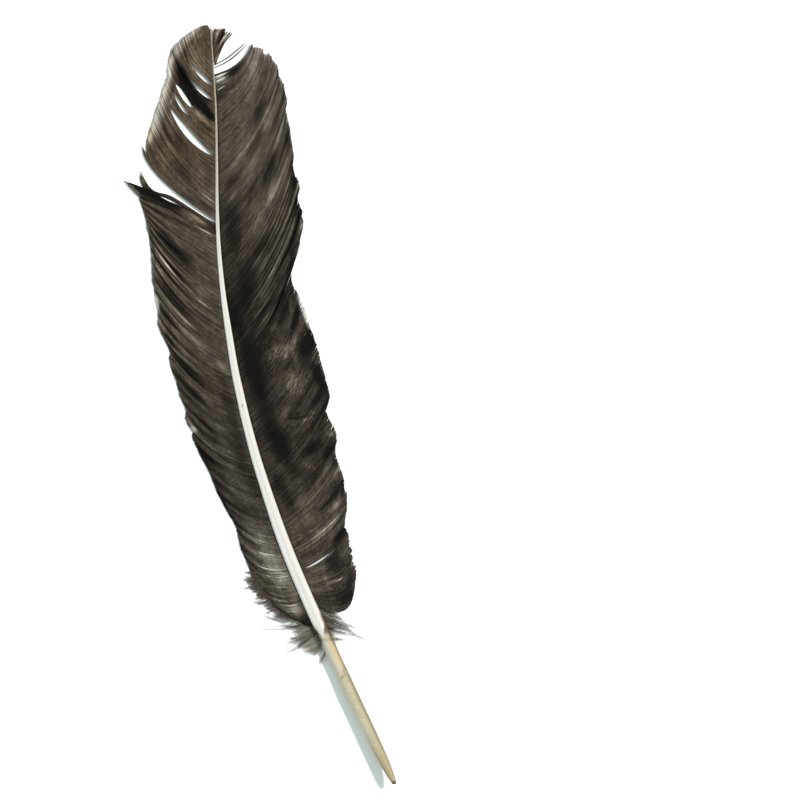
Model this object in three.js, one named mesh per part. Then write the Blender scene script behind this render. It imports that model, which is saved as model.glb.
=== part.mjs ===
// Turkey flight feather lying flat, with the side up on which the vanes leave the shaft near its top.
// Units are millimetres, +Z is up, the feather's length runs along +Y (stem end at -Y, tip at +Y).
// The outline and the run of the barbs are kept as plan tables in outline units; U turns one unit
// into millimetres. Heights are millimetres above the surface the feather lies on.
import * as THREE from 'three';

const U = 0.3885;                 // mm per outline unit
const SHEET = 0.5;                // thickness of a vane as a closed sheet
const GAP = 0.32;                 // clear gap between neighbouring pieces

// ---------------------------------------------------------------- small numerics
function pchip(tab, col) {        // monotone cubic through (tab[i][0], tab[i][col])
  const n = tab.length, x = tab.map(r => r[0]), y = tab.map(r => r[col]);
  const h = [], d = [], m = new Array(n);
  for (let i = 0; i < n - 1; i++) { h.push(x[i + 1] - x[i]); d.push((y[i + 1] - y[i]) / h[i]); }
  m[0] = d[0]; m[n - 1] = d[n - 2];
  for (let i = 1; i < n - 1; i++) {
    if (d[i - 1] * d[i] <= 0) m[i] = 0;
    else { const a = 2 * h[i] + h[i - 1], b = h[i] + 2 * h[i - 1]; m[i] = (a + b) / (a / d[i - 1] + b / d[i]); }
  }
  return v => {
    if (v <= x[0]) return y[0];
    if (v >= x[n - 1]) return y[n - 1];
    let i = 0; while (v > x[i + 1]) i++;
    const s = (v - x[i]) / h[i], s2 = s * s, s3 = s2 * s;
    return (2 * s3 - 3 * s2 + 1) * y[i] + (s3 - 2 * s2 + s) * h[i] * m[i] + (3 * s2 - 2 * s3) * y[i + 1] + (s3 - s2) * h[i] * m[i + 1];
  };
}
function polyline(pts) {          // point at a distance along a polyline
  const S = [0];
  for (let i = 1; i < pts.length; i++) S.push(S[i - 1] + Math.hypot(pts[i][0] - pts[i - 1][0], pts[i][1] - pts[i - 1][1]));
  const f = s => {
    if (s <= 0) return pts[0].slice();
    if (s >= S[S.length - 1]) return pts[pts.length - 1].slice();
    let i = 0; while (s > S[i + 1]) i++;
    const t = (s - S[i]) / (S[i + 1] - S[i]);
    return [pts[i][0] + t * (pts[i + 1][0] - pts[i][0]), pts[i][1] + t * (pts[i + 1][1] - pts[i][1])];
  };
  f.total = S[S.length - 1];
  return f;
}

// ---------------------------------------------------------------- plan tables (outline units, v grows toward the stem)
// shaft: v, centre u, width
const SHAFT = [
  [27, 210.8, 0.9], [40, 211.6, 1.1], [55, 212.6, 1.25], [70, 213.6, 1.4], [85, 214.6, 1.6], [100, 215.5, 1.8], [115, 216.1, 2], [132, 216.5, 2.2], [150, 216.7, 2.4],
  [170, 216.9, 2.7], [190, 217, 3], [210, 217.3, 3.4], [225, 217.7, 3.7], [240, 218.4, 4], [255, 219.4, 4.3], [270, 220.7, 4.7], [285, 222.2, 5.1], [300, 224, 5.5],
  [315, 226.1, 6.1], [330, 228.4, 6.7], [345, 230.8, 7.1], [360, 233.2, 7.4], [375, 235.9, 7.9], [390, 239.2, 8.3], [405, 242.5, 8.6], [420, 246, 8.9],
  [435, 249.9, 9.2], [450, 253.9, 9.6], [465, 258.3, 9.9], [480, 263.1, 10.2], [495, 267.9, 10.7], [510, 272.9, 11.2], [525, 278, 11.7], [540, 283.5, 12.1],
  [555, 289.3, 12.3], [570, 295.4, 12.4], [585, 301.8, 12.4], [600, 308.3, 12.4], [615, 315, 12.4], [629, 321.7, 12.4], [636, 325, 12.6], [649, 330.9, 12.8],
  [662, 336.8, 12.6], [676, 343.4, 12.8], [690, 349.7, 13.1], [705, 357, 12.7], [720, 364.3, 12.3], [735, 371.5, 12], [750, 378.7, 11.4], [760, 383.6, 10.4],
  [769.5, 388.3, 8.7], [776, 391.4, 7.0], [780, 393.3, 5.4], [783, 394.7, 3.2]];
const su = pchip(SHAFT, 1), sw = pchip(SHAFT, 2);

// broad (inner) vane edge, from the tip down
const EDGE_IN = polyline([[252, 43], [254, 48], [258, 47], [262, 49], [266, 55], [268.5, 53], [272, 57], [275, 63], [278, 66], [279, 75], [281, 80], [284, 84], [285, 92], [287, 98],
  [287, 104], [285.5, 109], [288, 118], [290, 128], [291.5, 140], [293, 150], [294, 156], [293, 165], [295, 175], [299, 182], [300, 188], [298, 195], [298, 201], [300, 206],
  [303, 212], [301.5, 216], [304, 221], [303, 229], [300.5, 238], [300, 245], [298, 252], [295.5, 259], [294, 265], [291.5, 272], [292, 281], [294, 287], [297, 292], [301, 299],
  [305, 307], [308, 318], [310, 327], [313, 334], [315, 341], [317.5, 346], [319, 352], [320.5, 360], [323, 370], [326, 380], [329, 390], [330, 397], [328, 405], [326, 411],
  [329, 418], [333, 426], [336, 434], [337, 441], [335.5, 449], [336, 455], [338, 462], [340, 468], [342.5, 475], [344, 481], [344.5, 488], [346.5, 494], [347.3, 503], [347, 511],
  [345.5, 519], [345, 526], [347, 531], [348, 538], [348.5, 545], [351, 551], [353.5, 556], [355, 564], [356, 575], [355.3, 586], [354, 593]]);
// narrow (outer) vane edge above the big split
const EDGE_OU = polyline([[207, 25], [200, 26.5], [194, 30], [188, 34], [182, 39.5], [176, 45], [171, 51], [168, 59], [167, 66], [167, 74], [165, 82], [162, 90], [160, 98], [157, 106],
  [154, 114], [152.5, 121], [150, 128], [148, 136], [146.5, 141], [142, 144]]);
// narrow vane edge below it
const EDGE_OL = polyline([[140, 170], [138.6, 178], [138.5, 186], [139, 199], [143, 210], [146, 220], [147, 228], [149, 236], [150, 246], [151, 256], [152, 268], [152.2, 280], [154, 290],
  [155, 297], [156, 304], [158, 311], [158, 325], [161, 333], [165, 341], [168.5, 349], [170, 353], [169, 357], [170, 365], [173, 374], [176.5, 381], [178, 389], [179.5, 395],
  [182, 401], [185, 407], [186, 411], [185, 417], [187, 424], [190, 428], [193, 431], [192, 436], [193.5, 442], [197, 449], [201, 457], [206, 466], [210, 474], [213, 482],
  [216, 491], [220, 498], [224, 506], [229, 515], [232.5, 521], [236, 528], [237.5, 534], [239, 541], [241.5, 550], [245, 558], [249, 567], [252, 576], [257, 586], [264, 596]]);

// barbs: root v on the shaft -> distance along the edge where the barb ends
const TIP_IN = pchip([[75, 0], [90, 3], [105, 8], [120, 16], [135, 25], [150, 33], [165, 41.5], [180, 50.5], [195, 60], [210, 70.5], [225, 82], [240, 94], [255, 106.5], [270, 120],
  [285, 134.5], [300, 150], [315, 166], [330, 184], [345, 206], [360, 233], [375, 260], [390, 280], [405, 297], [420, 315], [435, 332.5], [450, 351], [465, 370.5], [480, 392],
  [495, 413.5], [510, 435], [525, 456.5], [540, 479], [555, 502], [570, 526], [585, 549], [597, 571], [606, 589]], 1);
const TIP_OU = pchip([[31, 0], [40, 2.5], [50, 6.5], [60, 12], [70, 18.5], [80, 25.5], [90, 32.6], [100, 39.6], [110, 46.6], [120, 54.3], [130, 63], [140, 71.8], [150, 80],
  [160, 87.8], [170, 95.4], [180, 103], [190, 111], [200, 119.5], [210, 129], [220, 139]], 1);
const TIP_OL = pchip([[236, 26], [250, 31], [264, 36.5], [278, 43], [292, 51], [306, 62.5], [320, 77.5], [334, 93.5], [348, 110], [362, 127.5], [376, 145], [390, 163], [404, 181.5],
  [418, 200.5], [432, 220], [446, 238.5], [460, 257.5], [474, 276.5], [488, 296], [502, 316.5], [516, 336.5], [530, 357], [544, 376.5], [558, 394], [572, 410.5], [586, 427], [598, 443]], 1);
// barb direction above the outward horizontal, degrees: root v, leaving the shaft, arriving at the edge
const ANG_IN = [[75, 14, 72], [85, 24, 78], [100, 31, 79], [130, 37, 78], [170, 41, 77], [220, 44, 77], [280, 47, 76], [340, 48, 74], [400, 46, 70], [450, 42, 66], [500, 37, 63],
  [540, 30, 60], [565, 22, 58], [585, 10, 60], [597, -8, 68], [606, -30, 80]];
const ANG_OU = [[30, 66, 105], [45, 55, 92], [60, 46, 84], [85, 34, 76], [110, 31, 74], [150, 33, 70], [198, 36, 66], [210, 35.5, 70], [220, 33, 84]];
const ANG_OL = [[236, 30, 60], [260, 32, 64], [310, 30, 62], [360, 25, 58], [410, 20, 55], [450, 14, 52], [490, 8, 50], [530, -2, 48], [560, -14, 52], [580, -20, 52], [600, -26, 50]];

// ---------------------------------------------------------------- heights (mm above the surface it lies on)
const ZB = pchip([[27, 0.9], [100, 0.5], [180, 0.25], [260, 0.08], [330, 0], [560, 0], [600, 0.05], [660, 0.3], [690, 0.5], [720, 1.1], [750, 1.8], [770, 2.8], [782.3, 3.7]], 1);
const DEP = pchip([[27, 1.1], [200, 1.05], [500, 1.0], [620, 0.98], [660, 0.94], [782.3, 0.94]], 1);   // depth of the shaft over its width
const depth = v => U * sw(v) * DEP(v);
const zRoot = v => Math.max(ZB(v) + 0.70 * depth(v), 0.45);
const H_IN = pchip([[75, 1.2], [120, 1.0], [165, 0.9], [225, 0.8], [270, 0.7], [300, 0.6], [325, 1.2], [333, 0.4], [340, 1.9], [352, 1.5], [364, 0.25], [369, 2.4], [390, 2.3], [410, 1.5], [425, 0.8], [450, 1.4], [476, 0.25], [482, 2.2], [498, 1.7], [507, 0.5], [513, 1.8], [535, 1.3], [554, 0.25], [560, 2.0], [578, 1.4], [597, 0.5], [606, 0.5]], 1);
const H_OU = pchip([[31, 0.8], [60, 0.7], [90, 0.9], [120, 0.6], [150, 0.45], [180, 0.4], [220, 0.5]], 1);
const H_OL = pchip([[236, 0.45], [270, 0.3], [295, 0.6], [318, 0.25], [338, 0.6], [358, 0.3], [385, 0.55], [410, 0.25], [440, 0.55], [468, 0.28], [500, 0.5], [530, 0.3], [560, 0.45], [584, 0.25], [598, 0.35]], 1);

// ---------------------------------------------------------------- plan -> object frame
const A = [394, 782], B = [212, 27];                       // stem end and tip of the shaft
const L = Math.hypot(B[0] - A[0], B[1] - A[1]);
const ey = [(B[0] - A[0]) / L, -(B[1] - A[1]) / L];        // object +Y in (right, up)
const ex = [ey[1], -ey[0]];                                // object +X
function place(u, v, z) {
  const X = U * (u - A[0]), Y = -U * (v - A[1]);
  return [X * ex[0] + Y * ex[1], X * ey[0] + Y * ey[1], z];
}

// one barb of a vane as n+1 points (u, v), from the shaft's side to the edge
function barb(side, v, tip, ang, n, gap) {
  const p0 = pchip(ang, 1)(v) * Math.PI / 180, p1 = pchip(ang, 2)(v) * Math.PI / 180;
  const d0 = [side * Math.cos(p0), -Math.sin(p0)], d1 = [side * Math.cos(p1), -Math.sin(p1)];
  // the root stands off the shaft's side, square to the shaft
  const t = [su(v + 0.5) - su(v - 0.5), 1], tl = Math.hypot(t[0], t[1]);
  const off = side * (sw(v) / 2 + gap / U);
  const R = [su(v) + off * t[1] / tl, v - off * t[0] / tl];
  const e = [tip[0] - R[0], tip[1] - R[1]];
  const den = d0[0] * d1[1] - d0[1] * d1[0];
  let a = (e[0] * d1[1] - e[1] * d1[0]) / den, b = (d0[0] * e[1] - d0[1] * e[0]) / den;
  let c;
  if (Math.abs(den) > 1e-3 && a > 0 && b > 0 && a < 2 * Math.hypot(e[0], e[1])) c = [R[0] + a * d0[0], R[1] + a * d0[1]];
  else { const l = Math.hypot(e[0], e[1]) / 2; c = [R[0] + l * d0[0], R[1] + l * d0[1]]; }
  const out = [];
  for (let i = 0; i <= n; i++) {
    const s = i / n, q = 1 - s;
    out.push([q * q * R[0] + 2 * q * s * c[0] + s * s * tip[0], q * q * R[1] + 2 * q * s * c[1] + s * s * tip[1]]);
  }
  return out;
}

// ---------------------------------------------------------------- closed sheet over rows of points
// rows: arrays of [x, y, z]; all rows have the same length. cut: list of {row, from, to, w} opens a
// leaf-shaped slit along a row between two columns (from 0 = open at the root), w = half width in mm.
function sheet(rows, thick, cuts = []) {
  const n = rows.length, m = rows[0].length, P = [], id = rows.map(() => []), id2 = rows.map(() => []);
  for (let i = 0; i < n; i++) for (let j = 0; j < m; j++) {
    const c = cuts.find(k => k.row === i && j >= k.from && j < k.to && (j > k.from || k.from === 0));
    if (!c) { id[i][j] = id2[i][j] = P.length; P.push(rows[i][j].slice()); continue; }
    const s = c.from === 0 ? Math.cos((j / c.to) * Math.PI / 2) ** 0.6 * Math.min(1, 0.35 + j / c.to * 2.2) : Math.sin(Math.PI * (j - c.from) / (c.to - c.from));
    const w = c.w * s, a = rows[i - 1][j], b = rows[i + 1][j], l = Math.hypot(b[0] - a[0], b[1] - a[1]);
    const dx = (b[0] - a[0]) / l * w, dy = (b[1] - a[1]) / l * w;
    id[i][j] = P.length; P.push([rows[i][j][0] - dx, rows[i][j][1] - dy, rows[i][j][2]]);     // side of the row before
    id2[i][j] = P.length; P.push([rows[i][j][0] + dx, rows[i][j][1] + dy, rows[i][j][2]]);    // side of the row after
  }
  const tri = [];
  for (let i = 0; i < n - 1; i++) for (let j = 0; j < m - 1; j++) {
    const a = id2[i][j], b = id2[i][j + 1], c = id[i + 1][j + 1], d = id[i + 1][j];
    if (a === d) { if (a !== b) tri.push([a, b, c]); } else if (b === c) tri.push([a, b, d]); else tri.push([a, b, c], [a, c, d]);
  }
  return close(P, tri, thick);
}
function close(P, tri, thick) {
  // vertex normals, flipped to point up
  const N = P.map(() => [0, 0, 0]);
  let up = 0;
  for (const [a, b, c] of tri) {
    const A_ = P[a], B_ = P[b], C_ = P[c];
    const ux = B_[0] - A_[0], uy = B_[1] - A_[1], uz = B_[2] - A_[2], vx = C_[0] - A_[0], vy = C_[1] - A_[1], vz = C_[2] - A_[2];
    const nx = uy * vz - uz * vy, ny = uz * vx - ux * vz, nz = ux * vy - uy * vx;
    up += nz;
    for (const q of [a, b, c]) { N[q][0] += nx; N[q][1] += ny; N[q][2] += nz; }
  }
  const sgn = up < 0 ? -1 : 1;
  const pos = [], idx = [], k = P.length;
  const th = typeof thick === 'function' ? thick : () => thick;
  for (const s of [1, -1]) P.forEach((p, i) => {
    const l = Math.hypot(...N[i]) * sgn, h = s * th(i) / 2;
    pos.push(p[0] + N[i][0] / l * h, p[1] + N[i][1] / l * h, p[2] + N[i][2] / l * h);
  });
  const edge = new Map();
  for (const [a, b, c] of tri) {
    const t = sgn > 0 ? [a, b, c] : [a, c, b];
    idx.push(t[0], t[1], t[2], t[0] + k, t[2] + k, t[1] + k);
    for (const [p, q] of [[t[0], t[1]], [t[1], t[2]], [t[2], t[0]]]) {
      if (edge.has(q + '_' + p)) edge.delete(q + '_' + p); else edge.set(p + '_' + q, [p, q]);
    }
  }
  for (const [p, q] of edge.values()) idx.push(p, p + k, q + k, p, q + k, q);
  return { pos, idx };
}

// ---------------------------------------------------------------- the pieces
const X0 = [], parts = [];
function rowsOf(side, vs, tipOf, ang, h, cols, gap = GAP) {
  return vs.map(v => barb(side, v, tipOf(v), ang, cols, gap).map((p, j) => {
    const s = j / cols, zr = zRoot(v);
    const z = zr + (h(v) - zr) * Math.pow(s, 1.5);
    return place(p[0], p[1], Math.max(z, 0.25));
  }));
}
const span = (a, b, n) => Array.from({ length: n + 1 }, (_, i) => a + (b - a) * i / n);
const near = (vs, v) => vs.reduce((b, x, i) => Math.abs(x - v) < Math.abs(vs[b] - v) ? i : b, 0);

// broad inner vane, in one piece, with the two short slits beside the shaft near its top
const vIn = [75, 78, 82, 87, 93, ...span(101, 596, 48), 600, 603, 606];
parts.push(['inner_vane', sheet(rowsOf(1, vIn, v => EDGE_IN(TIP_IN(v)), ANG_IN, H_IN, 9), SHEET), 0x3d362e, 0.75]);

// narrow outer vane above the big split; slits are open at the shaft or leaf-shaped inside the vane
const vOu = [31, 35, 40, ...span(47, 214, 24), 218, 220];
const cutsOu = [{ row: near(vOu, 158), from: 0, to: 7, w: 1.25 }, { row: near(vOu, 115), from: 3, to: 8, w: 0.55 }];
parts.push(['outer_vane_upper', sheet(rowsOf(-1, vOu, v => EDGE_OU(v >= 220 ? EDGE_OU.total : TIP_OU(v)), ANG_OU, H_OU, 10), SHEET, cutsOu), 0x51473c, 0.75]);

// narrow outer vane below it
const vOl = [236.5, 240, ...span(247, 590, 34), 596];
parts.push(['outer_vane_lower', sheet(rowsOf(-1, vOl, v => EDGE_OL(TIP_OL(v)), ANG_OL, H_OL, 8), SHEET), 0x453d33, 0.75]);

// narrow locks given by their two long edges
function lock(e0, e1, zs, cols, thick = 0.42, rowsN = 2) {
  const a = polyline(e0), b = polyline(e1), zf = pchip(zs, 1), rows = [];
  for (let i = 0; i <= rowsN; i++) {
    const t = i / rowsN, r = [];
    for (let j = 0; j <= cols; j++) {
      const s = j / cols, p = a(s * a.total), q = b(s * b.total);
      r.push(place(p[0] + t * (q[0] - p[0]), p[1] + t * (q[1] - p[1]), zf(s)));
    }
    rows.push(r);
  }
  return sheet(rows, thick);
}
parts.push(['outer_spike_lock', lock(
  [[214.6, 223.5], [207, 219], [200, 214], [192, 209], [185, 204], [178, 200], [170, 195], [165, 193], [156, 193], [151, 190], [147, 186], [143, 178], [140.6, 170.5]],
  [[214.6, 226.5], [207, 222], [200, 217.5], [192, 212.5], [185, 208], [178, 204], [172, 201], [161, 196.4], [151, 193], [145, 189], [141.5, 184], [139.6, 178], [139.8, 171]],
  [[0, 0.7], [0.6, 0.45], [1, 0.45]], 12), 0x4c4338, 0.75]);
parts.push(['outer_bent_lock', lock(
  [[214.6, 228.2], [200, 219.5], [185, 210], [176, 204.6], [168, 200.8], [158, 195.6], [152, 191.5], [141, 187.5], [132, 183.7], [123.6, 180.4]],
  [[214.6, 233.4], [200, 226], [185, 216.6], [172, 207.8], [158, 202.6], [148, 200.4], [143, 198.6], [138, 194.6], [131, 187.6], [123.2, 181]],
  [[0, 0.7], [0.45, 0.85], [0.62, 1.05], [0.8, 1.0], [1, 0.8]], 12), 0x1d1813, 0.7]);
parts.push(['inner_tip_tuft', lock(
  [[212.4, 29.5], [214, 28.2], [216, 26.4], [219, 24.8], [223, 26], [227, 28.2], [230, 30], [232.8, 32.4]],
  [[215.2, 62.5], [217.3, 58.5], [219.4, 54], [221.2, 50], [223, 46], [226, 41.5], [230, 36.5], [232.8, 33.2]],
  [[0, 1.0], [0.5, 1.3], [1, 1.6]], 8, 0.42, 4), 0x4a4136, 0.75]);
parts.push(['inner_stray_barbs', lock(
  [[216, 64.6], [222, 61.6], [229, 57.6], [236, 52], [242, 46.6], [247.6, 41.6]],
  [[216.2, 67.4], [223, 64.2], [230.4, 60], [237.6, 54.2], [243.2, 48.6], [248, 42.4]],
  [[0, 0.9], [0.5, 1.2], [1, 1.5]], 8, 0.42), 0x4a4136, 0.75]);

// down at the base, one spiky sheet a side: tips of the wisps and the hollows between them
function down(side, list, thick) {
  const rows = list.map(([v, u1, v1, sagv]) => {
    const t = [su(v + 0.5) - su(v - 0.5), 1], tl = Math.hypot(t[0], t[1]), off = side * (sw(v) / 2 + GAP / U);
    const R = [su(v) + off * t[1] / tl, v - off * t[0] / tl], r = [];
    for (let j = 0; j <= 5; j++) {
      const s = j / 5, z0 = ZB(v) + 0.36 * depth(v);
      r.push(place(R[0] + s * (u1 - R[0]), R[1] + s * (v1 - R[1]) + sagv * 4 * s * (1 - s), z0 + (1.2 - z0) * s));
    }
    return r;
  });
  return sheet(rows, thick);
}
parts.push(['outer_down', down(-1, [[599, 261, 600, 4], [602, 251, 597, 5], [605, 262, 604, 5], [609, 258, 612, 5], [613, 268, 612, 4], [617, 251, 627, 4], [621, 274, 620, 4],
  [626, 272, 636, 3], [631, 288, 633, 3], [635, 277, 643, 3], [639, 295, 645, 2], [642, 286, 652, 2], [645, 308, 655, 1], [648, 320, 663, 0]], 0.5), 0x77706a, 0.9]);
parts.push(['inner_down', down(1, [[610, 334, 616, 1], [614, 338, 614, 1], [618, 357, 628, 0], [622, 344, 622, 1], [626, 366, 640, 0], [630, 346, 632, 1], [634, 350, 637, 0], [638, 340, 638, 0], [642, 335, 645, 0]], 0.5), 0x77706a, 0.9]);

// the shaft: a hollow-looking horny calamus below, a grooved rachis above, grown as one
{
  const ring = [[-0.2, 0], [0.2, 0], [0.38, 0.06], [0.49, 0.24], [0.5, 0.45], [0.47, 0.68], [0.36, 0.9], [0.18, 1.0], [0, 0.95], [-0.18, 1.0], [-0.36, 0.9], [-0.47, 0.68], [-0.5, 0.45], [-0.49, 0.24], [-0.38, 0.06]];
  const n = ring.length, pos = [], idx = [];
  const vs = [27, 34, 42, 52, 64, 78, 94, 112, 132, 152, 172, 192, 212, 230, 248, 266, 284, 302, 320, 338, 356, 374, 392, 410, 428, 446, 464, 482, 500, 518, 536, 554, 572, 590, 608,
    622, 634, 646, 658, 672, 688, 704, 720, 736, 750, 760, 768, 774, 778.5, 781.3, 783];
  for (const v of vs) {
    const w = U * sw(v), d = depth(v), t = [su(v + 0.5) - su(v - 0.5), 1], tl = Math.hypot(t[0], t[1]);
    const round = THREE.MathUtils.smoothstep(v, 600, 650), end = v > 750 ? (1 - sw(v) / sw(750)) * 0.5 * U * sw(750) : 0;
    ring.forEach(([a, b], i) => {
      // the grooved section turns into an oval one toward the stem end
      const an = Math.PI * 2 * (i - 0.5) / n - Math.PI / 2, ra = 0.5 * Math.cos(an), rb = 0.5 + 0.5 * Math.sin(an);
      const q = (a + (ra - a) * round) * w / U, z = ZB(v) + (b + (rb - b) * round) * d + end * (v > 750 ? 0.9 : 0);
      pos.push(...place(su(v) + q * t[1] / tl, v - q * t[0] / tl, z));
    });
  }
  for (let r = 0; r < vs.length - 1; r++) for (let i = 0; i < n; i++) {
    const a = r * n + i, b = r * n + (i + 1) % n, c = a + n, d = b + n;
    idx.push(a, c, b, b, c, d);
  }
  for (let i = 1; i < n - 1; i++) { idx.push(0, i, i + 1); const o = (vs.length - 1) * n; idx.push(o, o + i + 1, o + i); }
  parts.push(['shaft', { pos, idx }, 0xe9e2d2, 0.45]);
}

// ---------------------------------------------------------------- seat everything in the object frame
const box = new THREE.Box3(), pt = new THREE.Vector3();
for (const [, g] of parts) for (let i = 0; i < g.pos.length; i += 3) box.expandByPoint(pt.set(g.pos[i], g.pos[i + 1], g.pos[i + 2]));
const cx = (box.min.x + box.max.x) / 2, cy = (box.min.y + box.max.y) / 2, cz = box.min.z;

const feather = new THREE.Group();
feather.name = 'turkey_feather';
for (const [name, g, colour, rough] of parts) {
  const pos = new Float32Array(g.pos.length);
  for (let i = 0; i < g.pos.length; i += 3) { pos[i] = g.pos[i] - cx; pos[i + 1] = g.pos[i + 1] - cy; pos[i + 2] = g.pos[i + 2] - cz; }
  const geo = new THREE.BufferGeometry();
  geo.setAttribute('position', new THREE.BufferAttribute(pos, 3));
  let idx = g.idx;
  // wind every closed piece outward
  let vol = 0;
  for (let i = 0; i < idx.length; i += 3) {
    const [a, b, c] = [idx[i] * 3, idx[i + 1] * 3, idx[i + 2] * 3];
    vol += pos[a] * (pos[b + 1] * pos[c + 2] - pos[b + 2] * pos[c + 1]) - pos[a + 1] * (pos[b] * pos[c + 2] - pos[b + 2] * pos[c]) + pos[a + 2] * (pos[b] * pos[c + 1] - pos[b + 1] * pos[c]);
  }
  if (vol < 0) { idx = idx.slice(); for (let i = 0; i < idx.length; i += 3) { const t = idx[i]; idx[i] = idx[i + 1]; idx[i + 1] = t; } }
  geo.setIndex(idx);
  geo.computeVertexNormals();
  const mesh = new THREE.Mesh(geo, new THREE.MeshStandardMaterial({ color: colour, roughness: rough, metalness: 0 }));
  mesh.name = name;
  feather.add(mesh);
}
export default feather;
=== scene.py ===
# Looks of the turkey feather: every vane is built barb by barb, the down filament by filament, and the
# shaft as a fine grooved horn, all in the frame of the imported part. Plan tables are in outline units
# (u to the right, v toward the stem), heights in millimetres above the surface it lies on.
import bpy
import math
import numpy as np
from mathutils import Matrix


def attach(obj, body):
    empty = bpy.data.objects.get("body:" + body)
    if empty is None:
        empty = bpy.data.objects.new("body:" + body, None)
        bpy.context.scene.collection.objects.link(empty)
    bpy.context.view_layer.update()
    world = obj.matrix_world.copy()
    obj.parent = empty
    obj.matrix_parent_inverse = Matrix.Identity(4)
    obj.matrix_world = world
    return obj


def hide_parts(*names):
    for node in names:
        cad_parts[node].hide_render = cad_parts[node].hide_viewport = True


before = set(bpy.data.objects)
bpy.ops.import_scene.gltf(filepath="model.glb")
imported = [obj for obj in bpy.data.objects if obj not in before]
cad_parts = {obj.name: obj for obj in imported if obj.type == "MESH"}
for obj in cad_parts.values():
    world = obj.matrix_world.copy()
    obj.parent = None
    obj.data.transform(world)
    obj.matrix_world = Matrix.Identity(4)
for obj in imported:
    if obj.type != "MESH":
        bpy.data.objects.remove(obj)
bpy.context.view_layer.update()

U = 0.3885                                     # mm per outline unit
SHIFT = (-12.845652, 151.350257, 0.0)          # mm, plan origin to the part's origin
A, B = np.array([394.0, 782.0]), np.array([212.0, 27.0])
LEN = float(np.hypot(*(B - A)))
EY = np.array([(B[0] - A[0]) / LEN, -(B[1] - A[1]) / LEN])
EX = np.array([EY[1], -EY[0]])


def place(u, v, z):
    """outline units and mm -> metres in the part's frame, (..., 3)"""
    x, y = U * (np.asarray(u) - A[0]), -U * (np.asarray(v) - A[1])
    return np.stack([(x * EX[0] + y * EX[1] - SHIFT[0]), (x * EY[0] + y * EY[1] - SHIFT[1]), np.asarray(z) + 0 * x], -1) * 0.001


# ------------------------------------------------------------------ numerics
def pchip(tab, col=1):
    x = np.array([r[0] for r in tab], float)
    y = np.array([r[col] for r in tab], float)
    h, d = np.diff(x), np.diff(y) / np.diff(x)
    m = np.empty_like(y)
    m[0], m[-1] = d[0], d[-1]
    for i in range(1, len(x) - 1):
        if d[i - 1] * d[i] <= 0:
            m[i] = 0
        else:
            a, b = 2 * h[i] + h[i - 1], h[i] + 2 * h[i - 1]
            m[i] = (a + b) / (a / d[i - 1] + b / d[i])

    def f(q):
        q = np.clip(np.asarray(q, float), x[0], x[-1])
        i = np.clip(np.searchsorted(x, q, side="right") - 1, 0, len(x) - 2)
        s = (q - x[i]) / h[i]
        s2, s3 = s * s, s * s * s
        return (2 * s3 - 3 * s2 + 1) * y[i] + (s3 - 2 * s2 + s) * h[i] * m[i] + (3 * s2 - 2 * s3) * y[i + 1] + (s3 - s2) * h[i] * m[i + 1]

    return f


def polyline(pts, soft=0.0):
    p = np.array(pts, float)
    s = np.concatenate([[0], np.cumsum(np.hypot(*np.diff(p, axis=0).T))])

    def f(q):
        q = np.asarray(q, float)
        return np.interp(q, s, p[:, 0]), np.interp(q, s, p[:, 1])

    f.total = s[-1]
    return f


def smooth(a, b, x):
    t = np.clip((np.asarray(x, float) - a) / (b - a), 0, 1)
    return t * t * (3 - 2 * t)


# ------------------------------------------------------------------ plan tables (the same as the solid model's)
SHAFT = [
    (27, 210.8, 0.9), (40, 211.6, 1.1), (55, 212.6, 1.25), (70, 213.6, 1.4), (85, 214.6, 1.6), (100, 215.5, 1.8), (115, 216.1, 2), (132, 216.5, 2.2),
    (150, 216.7, 2.4), (170, 216.9, 2.7), (190, 217, 3), (210, 217.3, 3.4), (225, 217.7, 3.7), (240, 218.4, 4), (255, 219.4, 4.3), (270, 220.7, 4.7),
    (285, 222.2, 5.1), (300, 224, 5.5), (315, 226.1, 6.1), (330, 228.4, 6.7), (345, 230.8, 7.1), (360, 233.2, 7.4), (375, 235.9, 7.9), (390, 239.2, 8.3),
    (405, 242.5, 8.6), (420, 246, 8.9), (435, 249.9, 9.2), (450, 253.9, 9.6), (465, 258.3, 9.9), (480, 263.1, 10.2), (495, 267.9, 10.7), (510, 272.9, 11.2),
    (525, 278, 11.7), (540, 283.5, 12.1), (555, 289.3, 12.3), (570, 295.4, 12.4), (585, 301.8, 12.4), (600, 308.3, 12.4), (615, 315, 12.4), (629, 321.7, 12.4),
    (636, 325, 12.6), (649, 330.9, 12.8), (662, 336.8, 12.6), (676, 343.4, 12.8), (690, 349.7, 13.1), (705, 357, 12.7), (720, 364.3, 12.3), (735, 371.5, 12),
    (750, 378.7, 11.4), (760, 383.6, 10.4), (769.5, 388.3, 8.7), (776, 391.4, 7.0), (780, 393.3, 5.4), (783, 394.7, 3.2)]
su, sw = pchip(SHAFT, 1), pchip(SHAFT, 2)
ZB = pchip([(27, 0.9), (100, 0.5), (180, 0.25), (260, 0.08), (330, 0), (560, 0), (600, 0.05), (660, 0.3), (690, 0.5), (720, 1.1), (750, 1.8), (770, 2.8), (782.3, 3.7)])
DEP = pchip([(27, 1.1), (200, 1.05), (500, 1.0), (620, 0.98), (660, 0.94), (782.3, 0.94)])


def depth(v):
    return U * sw(v) * DEP(v)


def z_root(v):
    return np.maximum(ZB(v) + 0.70 * depth(v), 0.45)


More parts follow.
